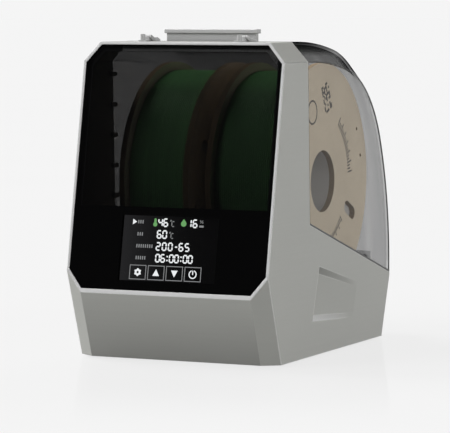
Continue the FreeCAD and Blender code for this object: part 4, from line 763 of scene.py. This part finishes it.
def unit_sign(bm, x, y):
    """A small ring and an open bracket beside it."""
    ring(bm, x + 0.7, y + 1.7, 0.75, 0.45, 0.0, 2 * math.pi, 10)
    for start, end in (((3.9, 1.1), (2.0, 1.1)), ((1.7, 0.8), (1.7, -2.6)), ((2.0, -2.9), (3.9, -2.9))):
        bar(bm, (x + start[0], y + start[1]), (x + end[0], y + end[1]), 0.75)


def share_sign(bm, x, y):
    """Two dots with a stroke between them, over a short bar."""
    for side in (-1, 1):
        disc(bm, x + side * 1.0, y + 1.6 - side * 0.7, 0.55, 8)
    bar(bm, (x - 1.2, y + 0.4), (x + 1.2, y + 2.8), 0.45)
    plate(bm, x - 2.0, y - 2.9, x + 2.0, y - 1.3, 0.4)


def ring(bm, x, y, radius, width, start, sweep, steps=20):
    """A flat ring or part of one."""
    heading = Vector((math.cos(start), math.sin(start), 0))
    centre = Vector((x, y, 0)) * MM
    inner = bm.verts.new(centre + heading * (radius - width) * MM)
    outer = bm.verts.new(centre + heading * radius * MM)
    line = bm.edges.new((inner, outer))
    bmesh.ops.spin(bm, geom=[inner, outer, line], cent=centre, axis=(0, 0, 1), angle=sweep, steps=steps,
                   use_merge=abs(sweep - 2 * math.pi) < 1e-6)


def outline(bm, left, low, right, top, line):
    """The outline of a box, as four mitred strips."""
    outer = ((left, low), (right, low), (right, top), (left, top))
    inner = ((left + line, low + line), (right - line, low + line), (right - line, top - line),
             (left + line, top - line))
    for index in range(4):
        after = (index + 1) % 4
        flat_face(bm, (outer[index], outer[after], inner[after], inner[index]))


def key_sign(bm, index, x, y):
    """The sign in a key box: a wheel, an up mark, a down mark or an on mark."""
    if index == 0:
        ring(bm, x, y, 2.6, 1.6, 0.0, 2 * math.pi, 24)
        for tooth in range(6):
            angle = math.radians(tooth * 60 + 30)
            heading = Vector((math.cos(angle), math.sin(angle)))
            bar(bm, Vector((x, y)) + heading * 1.2, Vector((x, y)) + heading * 3.5, 1.9)
    elif index in (1, 2):
        turn = 1 if index == 1 else -1
        foot = y - 2.5 * turn
        flat_face(bm, ((x - 3.0 * turn, foot), (x + 3.0 * turn, foot), (x, y + 3.0 * turn)))
    else:
        ring(bm, x, y, 3.6, 0.9, math.radians(112), math.radians(316))
        bar(bm, (x, y - 0.5), (x, y + 3.3), 0.9)


def drop(bm, x, y, radius, rise):
    """A round face drawn out to a tip."""
    for vert in disc(bm, x, y, radius):
        share = (vert.co.y / MM - y) / radius
        if share > 0:
            vert.co.y += rise * share ** 3 * MM
            vert.co.x += (x * MM - vert.co.x) * share ** 2 * 0.6


def display_panel(depth):
    """The display's frame and its recessed face."""
    bm = bmesh.new()
    size = Matrix.Diagonal((2 * PANEL_HALF * MM, (PANEL_TOP - PANEL_LOW) * MM, PANEL_THICK * MM, 1))
    centre = Matrix.Translation((0, (PANEL_LOW + PANEL_TOP) / 2 * MM, -PANEL_THICK / 2 * MM))
    bmesh.ops.create_cube(bm, size=1.0, matrix=centre @ size)
    bmesh.ops.bevel(bm, geom=bm.edges[:], offset=0.4 * MM, segments=2, profile=0.5, affect="EDGES",
                    material=-1)
    face = max(bm.faces, key=lambda f: f.calc_center_median().z + f.calc_area())
    bmesh.ops.inset_region(bm, faces=[face], thickness=1.0 * MM)
    bmesh.ops.inset_region(bm, faces=[face], thickness=0.1 * MM, depth=-PANEL_SINK)
    face.material_index = 1
    bm.transform(on_glass(depth))
    return bm


class DRYER_OT_shell(bpy.types.Operator):
    """Silver housing panels and handle"""

    bl_idname = "dryer.shell"
    bl_label = "Shell"

    def execute(self, context):
        look = finishes()
        dress(silver_paint(look.shell, look.inside), "side_panel_left", "side_panel_right", "top_bridge",
              "front_lower_cover")
        dress(silver_trim([sum(look.shell) / 3 * 1.1] * 3), "lid_handle")
        return {"FINISHED"}


class DRYER_OT_front_glass(bpy.types.Operator):
    """Tinted front glass with its black print"""

    bl_idname = "dryer.front_glass"
    bl_label = "Front glass"

    def execute(self, context):
        dress(tinted_glass(finishes().glass_clear), "front_glass")
        return {"FINISHED"}


class DRYER_OT_display(bpy.types.Operator):
    """Display with its readings, signs, labels and touch keys"""

    bl_idname = "dryer.display"
    bl_label = "Display"

    def execute(self, context):
        look, size = finishes(), sizes()
        depth = GLASS_BACK + size.display_gap
        face = depth + PANEL_SINK
        frame_finish = moulded("display_frame", look.moulding)
        materials = (frame_finish, display_film())
        add_piece("display_panel", display_panel(depth), materials, "housing", ("lcd_module",))
        bm = bmesh.new()
        for up, x, text, step in READINGS:
            reading(bm, x, up, text, step)
        flat_face(bm, POINTER)
        self.lay("display_readings", bm, face, glowing("lit_digits", look.lit, LIT_STRENGTH))
        bm = bmesh.new()
        disc(bm, *BULB)
        plate(bm, *STEM)
        drop(bm, *DROP)
        self.lay("display_signs", bm, face, glowing("lit_signs", look.sign))
        bm = bmesh.new()
        for up, x, count in GAUGES:
            gauge(bm, x, up, count)
        for up, x in UNITS:
            unit_sign(bm, x, up)
        share_sign(bm, *SHARE_PLACE)
        for index in range(KEY_COUNT):
            left = KEY_LEFT + index * KEY_PITCH
            outline(bm, left, KEY_LOW, left + KEY_WIDTH, KEY_LOW + KEY_HEIGHT, KEY_LINE)
        dim = [part * LABEL_SHARE for part in look.lit]
        self.lay("display_labels", bm, face, glowing("lit_labels", dim))
        bm = bmesh.new()
        for index in range(KEY_COUNT):
            key_sign(bm, index, KEY_LEFT + index * KEY_PITCH + KEY_WIDTH / 2, KEY_LOW + KEY_HEIGHT / 2)
        self.lay("display_keys", bm, face, glowing("lit_keys", look.lit, LIT_STRENGTH))
        return {"FINISHED"}

    def lay(self, name, bm, depth, material):
        """Flat work laid on the display's face."""
        bmesh.ops.remove_doubles(bm, verts=bm.verts, dist=0.001 * MM)
        thicken(bm, sizes().print_height)
        bm.transform(on_glass(depth))
        add_piece(name, bm, (material,), "housing")


class DRYER_OT_lid(bpy.types.Operator):
    """Smoked lid, its clear panes and its seal"""

    bl_idname = "dryer.lid"
    bl_label = "Lid"

    def execute(self, context):
        look = finishes()
        dress(smoked_plastic(look.smoke_clear), "lid_arch", "hinge_lid_leaves")
        dress(clear_plastic(look.pane_clear), "lid_window_left", "lid_window_right")
        dress(moulded("seal_rubber", SEAL_GREY, 2200, (0.6, 0.75), 0.02 * MM), "lid_seal")
        return {"FINISHED"}


# Marks printed on a flange, from its middle. Gauges: start and end in degrees, ticks, radius and length
MARK_GAUGES = ((5.0, 53.0, 19, 56.0, 10.0), (-74.0, -40.0, 13, 50.0, 8.0))
MARK_STROKE = 1.3
MARK_RING = (-22.4, 59.0, 10.5, 1.6)

# The patch: its middle, its slant, its squares across and along with their size, and the share filled
PATCH_PLACE = (8.7, 70.6)
PATCH_TURN = -66.0
PATCH_GRID = (7, 11, 2.25)
PATCH_FILL = 0.62

# Up to which angle between its faces a winding is smooth, in degrees
SMOOTH_BELOW = 60


class DRYER_OT_spools(bpy.types.Operator):
    """Card spools with the marks printed on their flanges"""

    bl_idname = "dryer.spools"
    bl_label = "Spools"

    def execute(self, context):
        look = finishes()
        card = pressed_card("pressed_card", look.card, 0.9)
        liner = pressed_card("core_card", look.liner, 0.0)
        ink = printed_ink(look.ink)
        for side in SIDES:
            dress(card, "spool_flanges_" + side)
            dress(liner, "spool_core_" + side)
            self.print_marks(side, ink)
        return {"FINISHED"}

    def print_marks(self, side, ink):
        """Gauges of ticks, a ring and a patch of squares on the outer face of each flange."""
        low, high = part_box("spool_flanges_" + side)
        centre = (low + high) / 2
        for name, x, out in (("outer", high.x, 1), ("inner", low.x, -1)):
            bm = bmesh.new()
            for start, end, count, radius, reach in MARK_GAUGES:
                self.ticks(bm, start, end, count, radius, reach)
            ring(bm, *MARK_RING, 0.0, 2 * math.pi, 32)
            self.patch(bm)
            thicken(bm, sizes().print_height)
            turn = Matrix(((0, 0, out, 0), (1, 0, 0, 0), (0, 1, 0, 0), (0, 0, 0, 1)))
            bm.transform(Matrix.Translation((x, centre.y, centre.z)) @ turn)
            add_piece("spool_marks_%s_%s" % (side, name), bm, (ink,), "spool_" + side)

    def ticks(self, bm, start, end, count, radius, reach):
        """A row of ticks along an arc, every third one longer."""
        for index in range(count):
            angle = math.radians(start + (end - start) * index / (count - 1))
            heading = Vector((math.cos(angle), math.sin(angle)))
            length = reach if index % 3 == 0 else reach * 0.65
            bar(bm, heading * radius, heading * (radius + length), MARK_STROKE)

    def patch(self, bm):
        """A slanting patch of small squares, filled here and there."""
        draw = random.Random(3)
        columns, rows, cell = PATCH_GRID
        angle = math.radians(PATCH_TURN)
        along = Vector((math.cos(angle), math.sin(angle)))
        aside = Vector((-math.sin(angle), math.cos(angle)))
        for column in range(columns):
            for row in range(rows):
                if draw.random() < PATCH_FILL:
                    corner = Vector(PATCH_PLACE) + along * (row - rows / 2) * cell
                    corner += aside * (column - columns / 2) * cell
                    flat_face(bm, (corner, corner + along * cell, corner + (along + aside) * cell,
                                   corner + aside * cell))


class DRYER_OT_windings(bpy.types.Operator):
    """Wound filament, turn beside turn"""

    bl_idname = "dryer.windings"
    bl_label = "Windings"

    def execute(self, context):
        look = finishes()
        materials = (strand_plastic(look.strand), pressed_card("liner_card", look.liner))
        for index, side in enumerate(SIDES):
            wound = self.wound(side, index)
            add_piece("winding_" + side, wound, materials, "spool_" + side,
                      ("filament_" + side,), SMOOTH_BELOW)
        return {"FINISHED"}

    def wound(self, side, seed):
        """A ring of strands between the flanges, wound round the core."""
        low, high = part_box("filament_" + side)
        core_low, core_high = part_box("spool_core_" + side)
        centre = (low + high) / 2
        outer = (high.z - low.z) / 2
        inner = (core_high.z - core_low.z) / 2
        size = sizes()
        across = round((high.x - low.x) / size.strand_width) - 1
        half = (high.x - low.x) / (across + 1) / 2
        layers = int((outer - half - inner) / (2 * half))
        bottom = outer - half - layers * 2 * half
        bm = bmesh.new()
        first = bm.verts.new((low.x + half, centre.y, centre.z + bottom))
        last = first
        for steps, count, heading in ((3, layers, (0, 1)), (5, across, (1, 0)), (3, layers, (0, -1))):
            for _ in range(count):
                middle = last.co + Vector((heading[0], 0, heading[1])) * half
                made = bmesh.ops.spin(bm, geom=[last], cent=middle, axis=(0, 1, 0), angle=math.pi,
                                      steps=steps)
                last = made["geom_last"][0]
        bm.edges.new((last, first))
        bmesh.ops.spin(bm, geom=bm.verts[:] + bm.edges[:], cent=centre, axis=(1, 0, 0), angle=2 * math.pi,
                       steps=size.turns_around, use_merge=True)
        for face in bm.faces:
            place = face.calc_center_median()
            beside = min(place.x - low.x, high.x - place.x) < half
            face.material_index = int(beside and (place - centre).yz.length < outer - half)
        self.unsettle(bm, centre, low.x + half, half, across, seed)
        return bm

    def unsettle(self, bm, centre, left, half, across, seed):
        """Lets each outer turn stand a little higher or lower than its neighbours."""
        draw = random.Random(seed)
        waver = sizes().strand_waver
        turns = [(draw.uniform(-1, 0), draw.uniform(0, 2 * math.pi)) for _ in range(across)]
        outer = max((v.co - centre).yz.length for v in bm.verts)
        for vert in bm.verts:
            arm = (vert.co - centre).yz
            place = (vert.co.x - left) / (2 * half)
            index = int(place)
            if arm.length > outer - half * 0.98 and 0 <= index < across:
                drop, phase = turns[index]
                wave = drop * (0.7 + 0.3 * math.sin(2 * math.atan2(arm.y, arm.x) + phase))
                lifted = arm * (1 + wave * waver * math.sin(math.pi * (place - index)) / arm.length)
                vert.co.y = centre.y + lifted.x
                vert.co.z = centre.z + lifted.y


class DRYER_OT_rollers(bpy.types.Operator):
    """Rollers, axles, their saddles, and steel pins and screws"""

    bl_idname = "dryer.rollers"
    bl_label = "Rollers"

    def execute(self, context):
        names = ["roller_%s_%s" % (side, row) for side in SIDES for row in ("front", "rear")]
        dress(moulded("roller_plastic", ROLLER_GREY, 1100, (0.3, 0.42), 0.02 * MM), *names)
        dress(moulded("saddle_plastic", finishes().moulding), "axle_saddles")
        steel = bare_metal("bright_steel", STEEL, STEEL_RINGS, (0.22, 0.38), STEEL_STAINS, True)
        dress(steel, "axle_front", "axle_rear", "base_screws", "inlet_screws", "handle_screws",
              "hinge_lid_screws", "hinge_body_screws", "hinge_pins", "cap_pin_left", "cap_pin_right")
        return {"FINISHED"}


class DRYER_OT_outlets(bpy.types.Operator):
    """Outlet tubes, their collars and their flip caps"""

    bl_idname = "dryer.outlets"
    bl_label = "Outlets"

    def execute(self, context):
        look = finishes()
        grey = moulded("outlet_plastic", look.outlet, 1800, (0.3, 0.4), 0.015 * MM)
        for side in SIDES:
            dress(grey, "outlet_tube_" + side, "outlet_collar_" + side, "outlet_cap_" + side)
        return {"FINISHED"}


class DRYER_OT_back_and_base(bpy.types.Operator):
    """Rear cover, base, feet, chamber floor, hinges and mains inlet"""

    bl_idname = "dryer.back_and_base"
    bl_label = "Back and base"

    def execute(self, context):
        look = finishes()
        dress(moulded("black_moulding", look.moulding), "rear_cover", "base_plate", "chamber_floor",
              "display_shroud", "humidity_sensor")
        dress(moulded("hinge_plastic", HINGE_BLACK, 1300), "hinge_body_leaves")
        dress(moulded("inlet_plastic", INLET_BLACK, 2200, (0.3, 0.4), 0.01 * MM), "power_inlet")
        dress(bare_metal("contact_brass", BRASS, BLADE_RUB, (0.2, 0.36)), "inlet_pins")
        dress(soft_rubber(), "feet")
        return {"FINISHED"}


class DRYER_OT_air_unit(bpy.types.Operator):
    """Fan, heater and boards under the chamber floor"""

    bl_idname = "dryer.air_unit"
    bl_label = "Air unit"

    def execute(self, context):
        dress(moulded("fan_plastic", FAN_BLACK, 1800, (0.4, 0.5), 0.02 * MM), "fan_frame", "fan_rotor")
        fins = bare_metal("finned_aluminium", ALUMINIUM, FIN_STREAK, (0.35, 0.5), FIN_SPOTS)
        dress(fins, "heater_core")
        dress(circuit_board(), "power_board", "control_board")
        return {"FINISHED"}


# Studio: levels of the backdrop, of the mirrored room in front and of the even fill, and the floor
BACKDROP = 0.913
WORLD_FRONT = 0.03
WORLD_FILL = 0.25
FLOOR_RADIUS = 60.0
FLOOR_DROP = 0.05 * MM
FLOOR_BOUNCE = 0.15
FLOOR_SHADE = 0.045
FLOOR_GLOW = 0.8245
FLOOR_GLOSS = 0.07
FLOOR_MIRROR = 0.5

# Camera: lens and sensor in millimetres, how far it is turned and raised, and its place in metres
CAMERA_LENS = 221.05
CAMERA_SENSOR = 36.0
CAMERA_TURN = (math.radians(24.65), math.radians(4.377))
CAMERA_PLACE = (0.9731, -2.1491, 0.2916)

# Lamps: where each shines from, how strongly and how wide it is in degrees
SUNS = (("key", (-0.52, -0.58, 0.62), 2.8, 30.0), ("fill", (0.97, -0.24, 0.05), 2.42, 40.0),
        ("top", (-0.68, 0.1, 0.725), 3.8, 30.0), ("back", (0.1, 0.9, 0.42), 1.2, 40.0))


class DRYER_OT_stage(bpy.types.Operator):
    """Floor, studio light and camera"""

    bl_idname = "dryer.stage"
    bl_label = "Stage"

    def execute(self, context):
        self.lay_floor()
        self.light_world()
        for name, heading, strength, spread in SUNS:
            self.hang_sun(name, heading, strength, spread)
        self.set_camera()
        context.scene.view_settings.view_transform = "Standard"
        return {"FINISHED"}

    def lay_floor(self):
        """A wide pale floor that keeps a faint shadow and a faint reflection."""
        f = Finish("studio_floor")
        seen = f.seen_ray(f.add("ShaderNodeLightPath").outputs)
        pale = f.toned((1.0, 1.0, 1.0), (f.noise(3), 0.01))
        shade = f.mixed(seen, [FLOOR_BOUNCE] * 3, [FLOOR_SHADE] * 3)
        under = f.add("ShaderNodeBsdfDiffuse", {"Color": shade})
        glow = f.add("ShaderNodeEmission", {"Color": pale, "Strength": f.times(seen, FLOOR_GLOW)})
        matt = f.add("ShaderNodeAddShader", {0: under.outputs[0], 1: glow.outputs[0]})
        gloss = f.add("ShaderNodeBsdfGlossy", {"Roughness": 0.04, "Color": (0.9, 0.9, 0.9, 1.0)})
        away = f.add("ShaderNodeVectorMath", {0: f.place}, operation="LENGTH").outputs["Value"]
        mirror = f.ramp(away, FLOOR_MIRROR, FLOOR_MIRROR / 2, 0.0, FLOOR_GLOSS, smooth=True)
        both = f.add("ShaderNodeMixShader", {0: mirror, 1: matt.outputs[0], 2: gloss.outputs[0]})
        bm = bmesh.new()
        bmesh.ops.create_circle(bm, cap_ends=True, segments=64, radius=FLOOR_RADIUS,
                                matrix=Matrix.Translation((0, 0, -FLOOR_DROP)))
        mesh = bpy.data.meshes.new("studio_floor")
        bm.to_mesh(mesh)
        bm.free()
        mesh.materials.append(f.done(both.outputs[0]))
        floor = bpy.data.objects.new("studio_floor", mesh)
        bpy.context.scene.collection.objects.link(floor)

    def light_world(self):
        """White for the camera, dim in front for gloss, and a soft even fill."""
        world = bpy.data.worlds.new("studio")
        bpy.context.scene.world = world
        world.use_nodes = True
        f = Nodes(world.node_tree)
        path = f.add("ShaderNodeLightPath").outputs
        heading = f.axes(f.add("ShaderNodeTexCoord").outputs["Generated"])
        behind = f.ramp(heading[1], -0.35, 0.35, smooth=True)
        low = f.ramp(heading[2], 0.3, 0.12, smooth=True)
        behind = f.ramp(f.times(behind, low), 0.0, 1.0, WORLD_FRONT, BACKDROP)
        gloss = f.most(path["Is Glossy Ray"], path["Is Transmission Ray"])
        other = f.sum("MULTIPLY_ADD", gloss, f.sum("SUBTRACT", behind, WORLD_FILL), WORLD_FILL)
        level = f.sum("MULTIPLY_ADD", path["Is Camera Ray"], f.sum("SUBTRACT", BACKDROP, other), other)
        light = f.add("ShaderNodeBackground", {"Color": (1.0, 1.0, 1.0, 1.0), "Strength": level})
        output = f.add("ShaderNodeOutputWorld")
        f.tree.links.new(light.outputs[0], output.inputs["Surface"])

    def hang_sun(self, name, heading, strength, spread):
        """A soft lamp that shines from a heading."""
        lamp = bpy.data.lights.new(name, "SUN")
        lamp.energy = strength
        lamp.angle = math.radians(spread)
        holder = bpy.data.objects.new(name, lamp)
        holder.rotation_euler = Vector(heading).to_track_quat("Z", "Y").to_euler()
        holder.visible_glossy = name != "back"
        bpy.context.scene.collection.objects.link(holder)

    def set_camera(self):
        """The camera at the photograph's view."""
        view = bpy.data.cameras.new("camera")
        view.lens = CAMERA_LENS
        view.sensor_width = CAMERA_SENSOR
        holder = bpy.data.objects.new("camera", view)
        azimuth, elevation = CAMERA_TURN
        back = Vector((math.sin(azimuth) * math.cos(elevation), -math.cos(azimuth) * math.cos(elevation),
                       math.sin(elevation)))
        holder.rotation_euler = back.to_track_quat("Z", "Y").to_euler()
        holder.location = CAMERA_PLACE
        bpy.context.scene.collection.objects.link(holder)
        bpy.context.scene.camera = holder


OPERATORS = (DRYER_OT_shell, DRYER_OT_front_glass, DRYER_OT_display, DRYER_OT_lid, DRYER_OT_spools,
             DRYER_OT_windings, DRYER_OT_rollers, DRYER_OT_outlets, DRYER_OT_back_and_base,
             DRYER_OT_air_unit, DRYER_OT_stage)


class DRYER_PT_looks(bpy.types.Panel):
    """The dryer's finishes, sizes and pieces"""

    bl_idname = "DRYER_PT_looks"
    bl_label = "Filament dryer"
    bl_space_type = "VIEW_3D"
    bl_region_type = "UI"
    bl_category = "Dryer"

    def draw(self, context):
        for group in (context.scene.dryer_finishes, context.scene.dryer_sizes):
            for name in group.bl_rna.properties.keys():
                if name not in ("rna_type", "name"):
                    self.layout.prop(group, name)
        for operator in OPERATORS:
            self.layout.operator(operator.bl_idname)


CLASSES = (DryerFinishes, DryerSizes, *OPERATORS, DRYER_PT_looks)


def register():
    """Registers the classes and the scene's settings."""
    for item in CLASSES:
        bpy.utils.register_class(item)
    bpy.types.Scene.dryer_finishes = PointerProperty(type=DryerFinishes)
    bpy.types.Scene.dryer_sizes = PointerProperty(type=DryerSizes)


def unregister():
    """Takes the classes and the settings away again."""
    del bpy.types.Scene.dryer_sizes
    del bpy.types.Scene.dryer_finishes
    for item in reversed(CLASSES):
        bpy.utils.unregister_class(item)


def main():
    """Builds the whole scene."""
    register()
    for operator in OPERATORS:
        group, name = operator.bl_idname.split(".")
        getattr(getattr(bpy.ops, group), name)()


if __name__ == "__main__":
    main()
